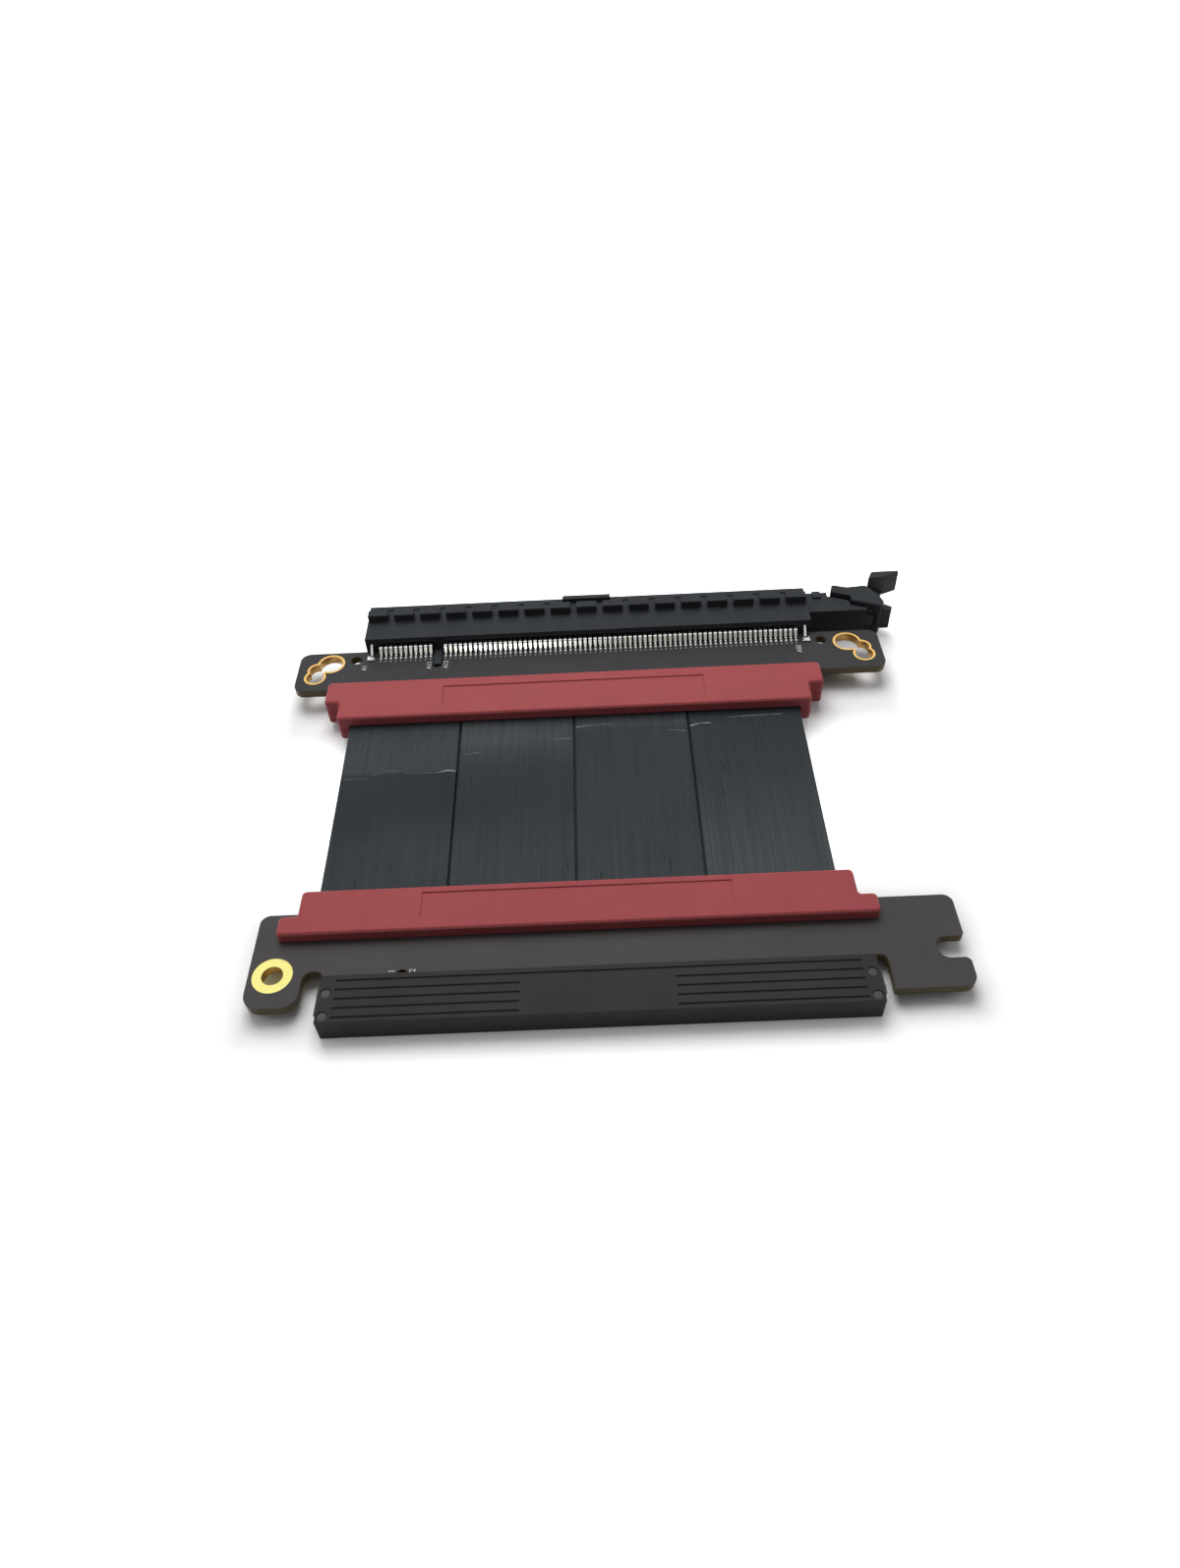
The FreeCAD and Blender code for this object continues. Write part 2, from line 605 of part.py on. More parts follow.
def build_plug_board():
    """Board with the card-edge tongue, the latch hook and the screw tab."""
    body = new_body("plug_board", z=PLUG_MID)
    notch_left = f"(-{TONGUE_HALF} - left_notch_width)"
    notch_right = f"({TONGUE_HALF} + right_notch_width)"
    rear_left = (f"-{PLUG_LEFT}", "plug_rear_left")
    rear_right = (PLUG_RIGHT, "-plug_rear_right")
    step_x = f"{PLUG_RIGHT} - rear_step_inset"
    hook_end = f"{PLUG_RIGHT} - hook_depth"
    hook_lip = (PLUG_RIGHT, "-hook_upper")
    hook_tip = (PLUG_RIGHT, "-hook_lower")
    hook_bottom = (PLUG_RIGHT, "-hook_bottom")
    left_top = "-left_notch_top - left_notch_round"
    right_top = "-right_notch_top - right_notch_round"
    tab = [(notch_left, "-tab_bottom"), (f"-{PLUG_LEFT}", "-tab_bottom")]
    bevel_start = "-tongue_end + tongue_chamfer"
    outline = [
        rear_left, (step_x, "plug_rear_left"), (step_x, "-plug_rear_right"), rear_right, hook_lip,
        (hook_end, "-hook_upper"), (hook_end, "-hook_lower"), hook_tip, hook_bottom,
        (notch_right, "-hook_bottom"), (notch_right, right_top), (TONGUE_HALF, right_top),
        (TONGUE_HALF, bevel_start), (f"{TONGUE_HALF} - tongue_chamfer", "-tongue_end"),
        (f"-{TONGUE_HALF} + tongue_chamfer", "-tongue_end"), (f"-{TONGUE_HALF}", bevel_start),
        (f"-{TONGUE_HALF}", left_top), (notch_left, left_top), *tab,
    ]
    pad(body, loop(body, "XY_Plane", outline), "board_thick", symmetric=True)
    round_edges(body, "plug_corner", upright_at([rear_left, rear_right]))
    round_edges(body, "hook_upper_corner", upright_at([hook_lip]))
    round_edges(body, f"0.4 * {HOOK_GAP}", upright_at([(hook_end, "-hook_upper")]))
    round_edges(body, f"0.45 * {HOOK_GAP}", upright_at([(hook_end, "-hook_lower")]))
    round_edges(body, "hook_tip_corner", upright_at([hook_tip]))
    round_edges(body, "hook_bottom_corner", upright_at([hook_bottom]))
    round_edges(body, "tab_corner", upright_at(tab))
    key_half = "tongue_key / 2"
    key_top = f"-tongue_key_end - {key_half}"
    key = box(f"{KEY_X} - {key_half}", f"{KEY_X} + {key_half}", "-tongue_end", key_top)
    pocket(body, loop(body, "XY_Plane", key), "board_thick", symmetric=True)
    holes = [(KEY_X, key_top, key_half), (f"-{RING_X}", "-ring_deep", "ring_hole + ring_wall + plate_gap"),
             (f"{notch_left} + left_notch_round", left_top, "left_notch_round"),
             (f"{notch_right} - right_notch_round", right_top, "right_notch_round")]
    pocket(body, discs(body, "XY_Plane", holes), "board_thick", symmetric=True)


def build_ground_ring():
    """Gold lining of the plug board's screw hole with a wide rim on each face, turned about its axis."""
    body = new_body("ground_ring", f"-{RING_X}", "-ring_deep", PLUG_MID)
    face = f"({BOARD_HALF} + plate_thick)"
    barrel = "ring_hole + ring_wall"
    rim = "ring_hole + ring_rim"
    profile = [("ring_hole", f"-{face}"), (rim, f"-{face}"), (rim, f"-{BOARD_HALF}"),
               (barrel, f"-{BOARD_HALF}"), (barrel, BOARD_HALF), (rim, BOARD_HALF), (rim, face),
               ("ring_hole", face)]
    turned = body.newObject("PartDesign::Revolution", "turned")
    turned.Profile = loop(body, "XZ_Plane", profile)
    turned.ReferenceAxis = (origin_of(body, "Z_Axis"), [""])
    turned.Angle = 360


def build_edge_fingers(label, side):
    """Row of gold contacts on one face of the tongue, in two groups beside the key."""
    start_y = "-tongue_end + finger_inset + tongue_chamfer / 2"
    body = new_body(label, y=start_y, z=f"{PLUG_MID} + {side} * {BOARD_HALF}")
    for start, count in ROW_GROUPS:
        pair = box(f"{start} - finger_width / 2", f"{start} + finger_width / 2", "0", "finger_length")
        strip = pad(body, loop(body, "XY_Plane", pair), "finger_thick", reverse=side == "-1")
        repeat(body, strip, "X_Axis", count, "contact_pitch")


def build_edge_cap():
    """Protective channel pushed over the tongue, with grip grooves on both faces."""
    body = new_body("edge_cap", y="-tongue_end", z=PLUG_MID)
    front = "(-cap_front_wall - fit_gap)"
    top = "(cap_thick / 2)"
    half = [("-fit_gap", CAP_SLOT_HALF), (CAP_REAR, CAP_SLOT_HALF), (CAP_REAR, top), (front, top)]
    channel = [*half, *((along, f"-{height}") for along, height in reversed(half))]
    pad(body, loop(body, "YZ_Plane", channel), f"2 * {CAP_HALF}", symmetric=True)
    for lift, reverse in ((top, False), (f"-{top}", True)):
        near = f"{CAP_REAR} - groove_first - groove_width / 2"
        first = box(f"-{GROOVE_HALF}", GROOVE_HALF, near, f"{near} + groove_width")
        pocket(body, loop(body, "XY_Plane", first, lift), "groove_deep", reverse=reverse)
        pair = new_sketch(body, "XY_Plane", lift)
        second = f"{near} - {GROOVE_PITCH}"
        for left, right in ((f"-{GROOVE_HALF}", "-panel_gap / 2"), ("panel_gap / 2", GROOVE_HALF)):
            add_loop(pair, box(left, right, second, f"{second} + groove_width"))
        cut = pocket(body, pair, "groove_deep", reverse=reverse)
        repeat(body, cut, "Y_Axis", "groove_count - 1", GROOVE_PITCH, reverse=True)


def build_cover_half(end, half, front, middle, turn, bed_half, bed_start):
    """One half of a cover, with its ribbon side at local Y = 0 and its board side at the cover's depth.

    The halves part at the middle of the board. Inside are the exit for the ribbons, the channel where the
    ribbons lie on the board, and the bed of the board itself.
    """
    body = new_body(f"{end}_cover_{half}", "-cover_shift", front, middle)
    body.Placement.Rotation = FreeCAD.Rotation(FreeCAD.Vector(0, 0, 1), turn)
    upper = half == "upper"
    depth = f"{end}_cover_depth"
    height = f"({BOARD_HALF} + {'cover_above' if upper else 'cover_below'})"
    ear = f"({depth} - {end}_ear_depth)"
    inner = [(COVER_NARROW, ear), (f"-{COVER_NARROW}", ear)]
    outer = [(COVER_NARROW, "0"), (COVER_WIDE, ear), (COVER_WIDE, depth), (f"-{COVER_WIDE}", depth),
             (f"-{COVER_WIDE}", ear), (f"-{COVER_NARROW}", "0")]
    outline = [outer[0], inner[0], *outer[1:5], inner[1], outer[5]]
    pad(body, loop(body, "XY_Plane", outline), height, reverse=not upper)
    round_edges(body, "cover_corner", upright_at(outer))
    round_edges(body, "cover_inner_corner", upright_at(inner))
    rooms = (
        (BED_HALF, "-fit_gap", "ribbon_exit", "ribbon_thick + ribbon_layers_gap / 2 + fit_gap"),
        (BED_HALF, "ribbon_exit - fit_gap", f"{RIBBON_END} + fit_gap",
         f"{BOARD_HALF} + ribbon_thick + fit_gap"),
        (bed_half, bed_start, f"{depth} + fit_gap", f"{BOARD_HALF} + fit_gap / 2"),
    )
    for room_half, start, stop, deep in rooms:
        room = box(f"-({room_half})", room_half, start, stop)
        pocket(body, loop(body, "XY_Plane", room), deep, reverse=upper)
    if upper:
        ease("Chamfer", body, "cover_edge", rim_at(height))
        inset = f"{end}_panel_inset"
        panel = box("-panel_length / 2", "panel_length / 2", inset, f"{inset} + panel_width")
        pocket(body, loop(body, "XY_Plane", panel, height), "panel_deep")


def build_covers():
    """Both covers, each of two halves; the plug's cover faces the other way."""
    socket_bed = f"{RIBBONS_HALF} + fit_gap"
    socket_start = f"socket_cover_depth - {INNER_DEPTH}"
    plug_start = "plug_cover_depth / 2 - plug_rear_left - fit_gap"
    for half in ("upper", "lower"):
        build_cover_half("socket", half, SOCKET_FRONT, SLOT_HALF, 0, socket_bed, socket_start)
        build_cover_half("plug", half, PLUG_REAR, PLUG_MID, 180, f"2 * {COVER_WIDE}", plug_start)


def build_ribbon(label, side, order):
    """Flat cable that leaves the socket board, drops between the covers and climbs onto the plug board."""
    shift = f"(ribbon_pitch * ({order} - (ribbon_count + 1) / 2))"
    body = new_body(label, f"-cover_shift + {shift}")
    slack = "ribbon_layers_gap / 2"
    under = [
        (f"{SOCKET_FRONT} + {RIBBON_END}", SLOT_HALF, BOARD_HALF),
        (f"{SOCKET_FRONT} + ribbon_exit + ribbon_rise_run", SLOT_HALF, BOARD_HALF),
        (f"{SOCKET_FRONT} + ribbon_exit", SLOT_HALF, slack),
        (f"{PLUG_REAR} - ribbon_exit", PLUG_MID, slack),
        (f"{PLUG_REAR} - ribbon_exit - ribbon_rise_run", PLUG_MID, BOARD_HALF),
        (f"{PLUG_REAR} - {RIBBON_END}", PLUG_MID, BOARD_HALF),
    ]
    inner = [(along, f"{middle} + {side} * ({off})") for along, middle, off in under]
    outer = [(along, f"{height} + {side} * ribbon_thick") for along, height in inner[::-1]]
    pad(body, loop(body, "YZ_Plane", inner + outer), "ribbon_pitch - ribbon_gap", symmetric=True)


build_socket_board()
build_mount_plating("mount_plating_left", "-1")
build_mount_plating("mount_plating_right", "1")
build_housing()
build_latch()
build_contacts("socket_contacts_upper", "1")
build_contacts("socket_contacts_lower", "-1")
build_board_lock("board_lock_left", "-1")
build_board_lock("board_lock_right", "1")
build_plug_board()
build_ground_ring()
build_edge_fingers("edge_fingers_upper", "1")
build_edge_fingers("edge_fingers_lower", "-1")
build_edge_cap()
build_covers()
for number in range(1, int(value("ribbon_count")) + 1):
    build_ribbon(f"ribbon_upper_{number}", "1", number)
    build_ribbon(f"ribbon_lower_{number}", "-1", number)
doc.recompute()

for thing in doc.Objects:
    if {"Invalid", "Error"} & set(thing.State):
        raise RuntimeError(f"{thing.Name} ({thing.Label}) did not build: {thing.State}")
os.makedirs("parts", exist_ok=True)
for node in nodes:
    if node.Shape.isNull() or not node.Shape.isValid():
        raise RuntimeError(f"{node.Label} has no valid shape")
for node in nodes:
    node.Shape.exportStep(f"parts/{node.Label}.step")
    print(node.Label, len(node.Shape.Solids), round(node.Shape.Volume, 3))
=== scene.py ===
"""Dresses the card-slot extension cable: finishes, fine shapes, studio and camera.

Sizes are in millimetres in the part's frame: X along the contacts, Y from the plug to the slot, Z up.
"""
import logging
import math
import random
from dataclasses import dataclass, field
from enum import Enum
from typing import Iterable, Optional, Protocol, Sequence

import bmesh
import bpy
from mathutils import Matrix, Vector


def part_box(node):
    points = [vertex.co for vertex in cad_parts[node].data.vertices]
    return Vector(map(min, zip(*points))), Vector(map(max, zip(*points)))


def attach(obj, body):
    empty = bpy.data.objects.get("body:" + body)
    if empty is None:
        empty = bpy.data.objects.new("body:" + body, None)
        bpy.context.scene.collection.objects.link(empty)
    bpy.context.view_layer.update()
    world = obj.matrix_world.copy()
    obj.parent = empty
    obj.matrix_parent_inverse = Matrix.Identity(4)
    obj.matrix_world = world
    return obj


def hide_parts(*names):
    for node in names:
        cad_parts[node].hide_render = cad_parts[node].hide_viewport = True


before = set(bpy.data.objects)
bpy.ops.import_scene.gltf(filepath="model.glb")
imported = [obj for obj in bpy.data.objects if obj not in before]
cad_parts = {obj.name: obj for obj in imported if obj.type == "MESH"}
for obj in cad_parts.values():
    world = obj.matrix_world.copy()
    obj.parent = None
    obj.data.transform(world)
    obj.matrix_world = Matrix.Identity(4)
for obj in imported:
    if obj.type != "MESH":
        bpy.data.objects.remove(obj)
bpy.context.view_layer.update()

MM = 0.001
TOUCHING = 0.0001
FLAT_ANGLE = math.radians(1)
DOME_LEVELS = (0.0, 0.35, 0.65, 0.88)
LOG = logging.getLogger("extension_cable")

Colour = tuple[float, float, float]
Point = tuple[float, float, float]
Span = tuple[float, float]
Face = Sequence[int]


class Named(Enum):
    """Choice whose members also serve in the names of nodes."""

    @property
    def word(self) -> str:
        """Lower-case name, as the nodes use it."""
        return self.name.lower()


class Side(Named):
    """Face of a board, or layer of the cable."""

    UPPER = 1
    LOWER = -1


class End(Named):
    """End of a board along X."""

    LEFT = -1
    RIGHT = 1


class Joint(Named):
    """Joint of cable and board that a pair of covers holds."""

    SOCKET = 1
    PLUG = 2


class Ray(Enum):
    """Kinds of ray that see the white background, as the light path node names them."""

    CAMERA = "Is Camera Ray"
    GLOSSY = "Is Glossy Ray"
    TRANSMISSION = "Is Transmission Ray"


class Finish(Protocol):
    """Anything that can make a material."""

    name: str

    def material(self) -> bpy.types.Material:
        """Build the node material."""


class Nodes:
    """Small builder for one tree of shader nodes."""

    def __init__(self, tree: bpy.types.NodeTree) -> None:
        """Work on the given tree."""
        self.tree = tree

    def node(self, kind: str, **sockets: object) -> bpy.types.Node:
        """Add a node and set or link its inputs.

        Args:
            kind: node type without its ShaderNode prefix.
            sockets: values or output sockets by input name, with underscores for spaces; a name that
                starts with set_ is a setting of the node itself.

        Returns:
            The new node.
        """
        node = self.tree.nodes.new("ShaderNode" + kind)
        for name, value in sockets.items():
            if name.startswith("set_"):
                setattr(node, name.removeprefix("set_"), value)
            else:
                self.put(node.inputs[name.replace("_", " ")], value)
        return node

    def put(self, socket: bpy.types.NodeSocket, value: object) -> None:
        """Link an output socket to an input, or set the input's own value.

        Args:
            socket: the input.
            value: output socket, or a value of the input's kind.
        """
        if isinstance(value, bpy.types.NodeSocket):
            self.tree.links.new(value, socket)
        else:
            socket.default_value = value

    def operate(self, kind: str, operation: str, values: Sequence[object]) -> bpy.types.Node:
        """Add a math node and fill its inputs in order.

        Args:
            kind: node type without its ShaderNode prefix.
            operation: name of the operation.
            values: sockets or values for the inputs.

        Returns:
            The new node.
        """
        node = self.node(kind, set_operation=operation)
        for socket, value in zip(node.inputs, values):
            self.put(socket, value)
        return node

    def math(self, operation: str, *values: object) -> bpy.types.NodeSocket:
        """Result of a math node on sockets or numbers."""
        return self.operate("Math", operation, values).outputs[0]

    def vector(self, operation: str, *values: object) -> bpy.types.NodeSocket:
        """Result of a vector math node on sockets or points, which is a number for a length."""
        node = self.operate("VectorMath", operation, values)
        return node.outputs["Value" if operation == "LENGTH" else "Vector"]

    def noise(self, scale: float, detail: float = 3.0, stretch: Point = (1, 1, 1)) -> bpy.types.NodeSocket:
        """Noise over the object's coordinates.

        Args:
            scale: cells for each millimetre.
            detail: octaves of the noise.
            stretch: scale along each axis, below 1 for long streaks.

        Returns:
            The noise factor, from 0 to 1.
        """
        place = self.node("TexCoord").outputs["Object"]
        spread = self.node("Mapping", Vector=place, Scale=stretch)
        return self.node("TexNoise", Vector=spread.outputs[0], Scale=scale / MM, Detail=detail).outputs[0]

    def span(self, factor: bpy.types.NodeSocket, low: float, high: float, start: float = 0.3,
             end: float = 0.7) -> bpy.types.NodeSocket:
        """Map a factor between start and end to the range from low to high."""
        node = self.node("MapRange", Value=factor, From_Min=start, From_Max=end, To_Min=low, To_Max=high)
        return node.outputs[0]

    def uneven(self, noise: bpy.types.NodeSocket, level: float, spread: float) -> bpy.types.NodeSocket:
        """Level that a noise moves up and down by a spread."""
        return self.span(noise, level - spread, level + spread)

    def mix(self, factor: object, first: object, second: object) -> bpy.types.NodeSocket:
        """Blend two colours by a factor.

        Args:
            factor: share of the second colour, as a number or an output socket.
            first: colour or output socket.
            second: colour or output socket.

        Returns:
            The blended colour.
        """
        node = self.node("Mix", set_data_type="RGBA")
        for socket, value in zip((node.inputs[0], node.inputs[6], node.inputs[7]), (factor, first, second)):
            self.put(socket, opaque(value) if isinstance(value, tuple) else value)
        return node.outputs[2]

    def shade(self, factor: object, colour: Colour, low: float, high: float) -> bpy.types.NodeSocket:
        """Colour that goes from a low strength to a high one by a factor."""
        return self.mix(factor, dimmed(colour, low), dimmed(colour, high))

    def steepness(self, start: float, end: float) -> bpy.types.NodeSocket:
        """Factor that goes from 0 on level faces to 1 on steep ones.

        Args:
            start: upward part of the normal at which a face counts as steep.
            end: upward part of the normal at which it counts as level.

        Returns:
            The factor.
        """
        normal = self.node("NewGeometry").outputs["Normal"]
        upward = self.math("ABSOLUTE", self.node("SeparateXYZ", Vector=normal).outputs["Z"])
        return self.span(upward, 1, 0, start, end)

    def seen_by(self, *rays: Ray) -> bpy.types.NodeSocket:
        """Factor that tells rays of the given kinds from others.

        Args:
            rays: kinds of ray.

        Returns:
            The factor, 1 for these rays and 0 for others.
        """
        paths = self.node("LightPath").outputs
        seen = paths[rays[0].value]
        for ray in rays[1:]:
            seen = self.math("MAXIMUM", seen, paths[ray.value])
        return seen


class Shader(Nodes):
    """Builder for one node material around a principled shader."""

    def __init__(self, name: str) -> None:
        """Make the material.

        Args:
            name: name of the material.
        """
        self.material = bpy.data.materials.new(name)
        self.material.use_nodes = True
        super().__init__(self.material.node_tree)
        self.surface = self.tree.nodes["Principled BSDF"]

    def bump(self, height: bpy.types.NodeSocket, depth: float) -> None:
        """Roughen the surface by a height factor and its depth in millimetres."""
        node = self.node("Bump", Height=height, Distance=depth * MM)
        self.put(self.surface.inputs["Normal"], node.outputs[0])

    def finish(self, **sockets: object) -> bpy.types.Material:
        """Set or link the shader's own inputs and hand over the material.

        Args:
            sockets: values or output sockets by input name, with underscores for spaces.

        Returns:
            The finished material.
        """
        for name, value in sockets.items():
            self.put(self.surface.inputs[name.replace("_", " ")], value)
        return self.material


def opaque(colour: Colour) -> tuple[float, float, float, float]:
    """Colour with full alpha."""
    return (*colour, 1.0)


def dimmed(colour: Colour, factor: float) -> Colour:
    """Colour times a factor."""
    return tuple(channel * factor for channel in colour)


@dataclass(frozen=True)
class MouldedPlastic:
    """Satin moulding with a fine spark-eroded grain, faint cloudiness and painted glints on the grain's
    specks.
    """

    name: str
    colour: Colour
    roughness: float = 0.5
    specular: float = 0.2
    grain: float = 6.0
    depth: float = 0.006
    cloud: float = 0.1
    cloud_scale: float = 0.09
    painted_glint_edge: Span = (0.55, 0.8)
    painted_glint: float = 1.25
    wear_scale: float = 0.5
    wear: float = 0.06

    def material(self) -> bpy.types.Material:
        """Build the node material.

        Returns:
            The material.
        """
        shader = Shader(self.name)
        cloud = shader.span(shader.noise(self.cloud_scale, detail=4), 0, 1)
        tint = shader.shade(cloud, self.colour, 1 - self.cloud, 1 + self.cloud)
        grain = shader.noise(self.grain, detail=2)
        # painted glints: the grain's highest specks are lightened, as if they caught the light
        painted_glint = shader.span(grain, 0, 1, *self.painted_glint_edge)
        colour = shader.mix(painted_glint, tint, dimmed(self.colour, self.painted_glint))
        shader.bump(grain, self.depth)
        rough = shader.uneven(shader.noise(self.wear_scale), self.roughness, self.wear)
        return shader.finish(Base_Color=colour, Roughness=rough, Specular_IOR_Level=self.specular)


@dataclass(frozen=True)
class SolderMask:
    """Black board: satin mask over faint copper relief, and bare laminate on the cut edges."""

    name: str
    colour: Colour
    laminate: Colour = (0.105, 0.078, 0.036)
    roughness: float = 0.45
    specular: float = 0.25
    cloud: float = 0.07
    cloud_scale: float = 0.12
    layer_scale: float = 2.0
    layer_stretch: Point = (0.1, 0.1, 3.0)
    layer_tones: Span = (0.7, 1.25)
    track_scale: float = 0.9
    track_stretch: Point = (1, 0.04, 1)
    track_edge: Span = (0.5, 0.58)
    track_share: float = 0.35
    grain: float = 9.0
    depth: float = 0.004
    wear_scale: float = 0.4
    wear: float = 0.06
    cut_edge: Span = (0.5, 0.7)

    def material(self) -> bpy.types.Material:
        """Build the node material.

        Returns:
            The material.
        """
        shader = Shader(self.name)
        cloud = shader.span(shader.noise(self.cloud_scale, detail=4), 0, 1)
        mask = shader.shade(cloud, self.colour, 1 - self.cloud, 1 + self.cloud)
        layers = shader.span(shader.noise(self.layer_scale, detail=2, stretch=self.layer_stretch), 0, 1)
        cut = shader.shade(layers, self.laminate, *self.layer_tones)
        copper = shader.noise(self.track_scale, detail=1, stretch=self.track_stretch)
        tracks = shader.span(copper, 0, 1, *self.track_edge)
        relief = shader.math("MULTIPLY_ADD", tracks, self.track_share, shader.noise(self.grain, detail=1))
        shader.bump(relief, self.depth)
        rough = shader.uneven(shader.noise(self.wear_scale), self.roughness, self.wear)
        colour = shader.mix(shader.steepness(*self.cut_edge), mask, cut)
        return shader.finish(Base_Color=colour, Roughness=rough, Specular_IOR_Level=self.specular)


@dataclass(frozen=True)
class CableSheath:
    """Blue-black flat cable; drawing streaks in a painted sheen, short dark rubs and scuffed folds."""

    name: str
    colour: Colour
    # pale tint of the painted sheen, which stands in for reflections on the bent ribbons
    painted_sheen: Colour
    scuff: Colour = (0.60, 0.58, 0.52)
    roughness: float = 0.46
    specular: float = 0.25
    streak_scale: float = 2.4
    streak_stretch: Point = (1, 0.012, 0.02)
    streak_tones: Span = (0.68, 1.32)
    patch_scale: float = 0.06
    patch: float = 0.06
    rub_scale: float = 2.6
    rub_stretch: Point = (1, 0.07, 1)
    rub_edge: Span = (0.64, 0.72)
    rub_area_scale: float = 0.1
    rub_area_stretch: Point = (0.5, 1, 1)
    rub_area_edge: Span = (0.52, 0.6)
    rub: float = 0.6
    break_scale: float = 1.1
    break_stretch: Point = (1, 0.3, 1)
    break_edge: Span = (0.38, 0.55)
    least_scuff: float = 0.45
    grain: float = 6.0
    grain_stretch: Point = (1, 0.1, 1)
    depth: float = 0.003
    wear_scale: float = 1.2
    wear_stretch: Point = (1, 0.05, 1)
    wear: float = 0.05

    def material(self) -> bpy.types.Material:
        """Build the node material.

        Returns:
            The material.
        """
        shader = Shader(self.name)
        # painted sheen: a share per point that lightens the sheath towards a pale tint, with the drawing
        # streaks showing in it
        sheen_share = shader.node("Attribute", set_attribute_name="painted_sheen").outputs["Fac"]
        drawn = shader.noise(self.streak_scale, detail=2, stretch=self.streak_stretch)
        streaks = shader.span(drawn, *self.streak_tones)
        patches = shader.uneven(shader.noise(self.patch_scale, detail=3), 0, self.patch)
        tint = shader.mix(shader.math("MULTIPLY_ADD", sheen_share, streaks, patches), self.colour, self.painted_sheen)
        dashes = shader.noise(self.rub_scale, detail=1, stretch=self.rub_stretch)
        rubs = shader.span(dashes, 0, 1, *self.rub_edge)
        area = shader.noise(self.rub_area_scale, detail=1, stretch=self.rub_area_stretch)
        rubbed = shader.span(area, 0, self.rub, *self.rub_area_edge)
        tint = shader.mix(shader.math("MULTIPLY", rubs, rubbed), tint, dimmed(self.colour, self.rub))
        worn = shader.node("Attribute", set_attribute_name="scuff").outputs["Fac"]
        gaps = shader.noise(self.break_scale, detail=3, stretch=self.break_stretch)
        broken = shader.span(gaps, self.least_scuff, 1, *self.break_edge)
        colour = shader.mix(shader.math("MULTIPLY", worn, broken), tint, self.scuff)
        shader.bump(shader.noise(self.grain, detail=2, stretch=self.grain_stretch), self.depth)
        wear = shader.noise(self.wear_scale, detail=2, stretch=self.wear_stretch)
        rough = shader.uneven(wear, self.roughness, self.wear)
        return shader.finish(Base_Color=colour, Roughness=rough, Specular_IOR_Level=self.specular)


@dataclass(frozen=True)
class PlatedMetal:
    """Thin plating on copper, a little uneven, with painted shade on its steep faces, which take a darker
    tint.
    """

    name: str
    colour: Colour
    # darker tint of the steep faces: painted shade
    steep_shade: Colour
    roughness: float = 0.3
    depth: float = 0.004
    grain: float = 5.0
    dull: float = 0.94
    dull_scale: float = 0.8
    steep_shade_edge: Span = (0.72, 0.92)
    wear_scale: float = 2.0
    wear: Span = (-0.05, 0.08)

    def material(self) -> bpy.types.Material:
        """Build the node material.

        Returns:
            The material.
        """
        shader = Shader(self.name)
        cloud = shader.span(shader.noise(self.dull_scale, detail=3), 0, 1)
        level = shader.shade(cloud, self.colour, self.dull, 1)
        # painted shade: steep faces blend to a darker tint, standing in for the dark surroundings they
        # reflect
        tint = shader.mix(shader.steepness(*self.steep_shade_edge), level, self.steep_shade)
        shader.bump(shader.noise(self.grain, detail=2), self.depth)
        smooth, dull = (self.roughness + change for change in self.wear)
        rough = shader.span(shader.noise(self.wear_scale, detail=2), smooth, dull)
        return shader.finish(Base_Color=tint, Roughness=rough, Metallic=1.0)


@dataclass(frozen=True)
class PrintInk:
    """White legend ink, slightly broken at its edges."""

    name: str
    colour: Colour = (0.60, 0.60, 0.58)
    worn_scale: float = 8.0
    worn_edge: Span = (0.3, 0.45)
    worn: float = 0.45
    wear_scale: float = 3.0
    roughness: Span = (0.55, 0.7)
    specular: float = 0.3
    grain: float = 12.0
    depth: float = 0.002

    def material(self) -> bpy.types.Material:
        """Build the node material.

        Returns:
            The material.
        """
        shader = Shader(self.name)
        worn = shader.span(shader.noise(self.worn_scale, detail=2), 0, 1, *self.worn_edge)
        rough = shader.span(shader.noise(self.wear_scale, detail=2), *self.roughness)
        shader.bump(shader.noise(self.grain, detail=1), self.depth)
        colour = shader.shade(worn, self.colour, self.worn, 1)
        return shader.finish(Base_Color=colour, Roughness=rough, Specular_IOR_Level=self.specular)


RED = MouldedPlastic("cover_red", (0.327, 0.066, 0.071), roughness=0.55, grain=5.0, depth=0.005, cloud=0.04)
SLOT_BLACK = MouldedPlastic("slot_black", (0.0255, 0.0285, 0.0325), specular=0.11)
LATCH_BLACK = MouldedPlastic("latch_black", (0.024, 0.027, 0.030), specular=0.11)
CAP_BLACK = MouldedPlastic("cap_black", (0.031, 0.029, 0.029), roughness=0.52, specular=0.13)
EJECTOR_GREY = MouldedPlastic("ejector_grey", (0.062, 0.056, 0.055), roughness=0.4, specular=0.3, grain=4.0,
                              depth=0.01, cloud=0.3)
FAR_MASK = SolderMask("far_board_mask", (0.026, 0.025, 0.027))
NEAR_MASK = SolderMask("near_board_mask", (0.052, 0.047, 0.048))
SHEATH = CableSheath("ribbon_sheath", (0.006, 0.0105, 0.0145), (0.046, 0.053, 0.057))
RING_GOLD = PlatedMetal("ring_gold", (1.0, 0.93, 0.315), (0.62, 0.38, 0.11), roughness=0.32)
RIM_GOLD = PlatedMetal("rim_gold", (1.0, 0.64, 0.22), (0.56, 0.34, 0.12))
EDGE_GOLD = PlatedMetal("edge_gold", (0.94, 0.70, 0.26), (0.62, 0.40, 0.13))
TIN = PlatedMetal("tin_plating", (0.97, 0.97, 0.95), (0.30, 0.30, 0.27), roughness=0.17, depth=0.001)
SOLDER = PlatedMetal("solder", (0.80, 0.80, 0.78), (0.48, 0.48, 0.46), roughness=0.26)
FILLET = PlatedMetal("solder_fillet", (0.95, 0.95, 0.93), (0.78, 0.78, 0.75), roughness=0.26)
INK = PrintInk("legend_ink")


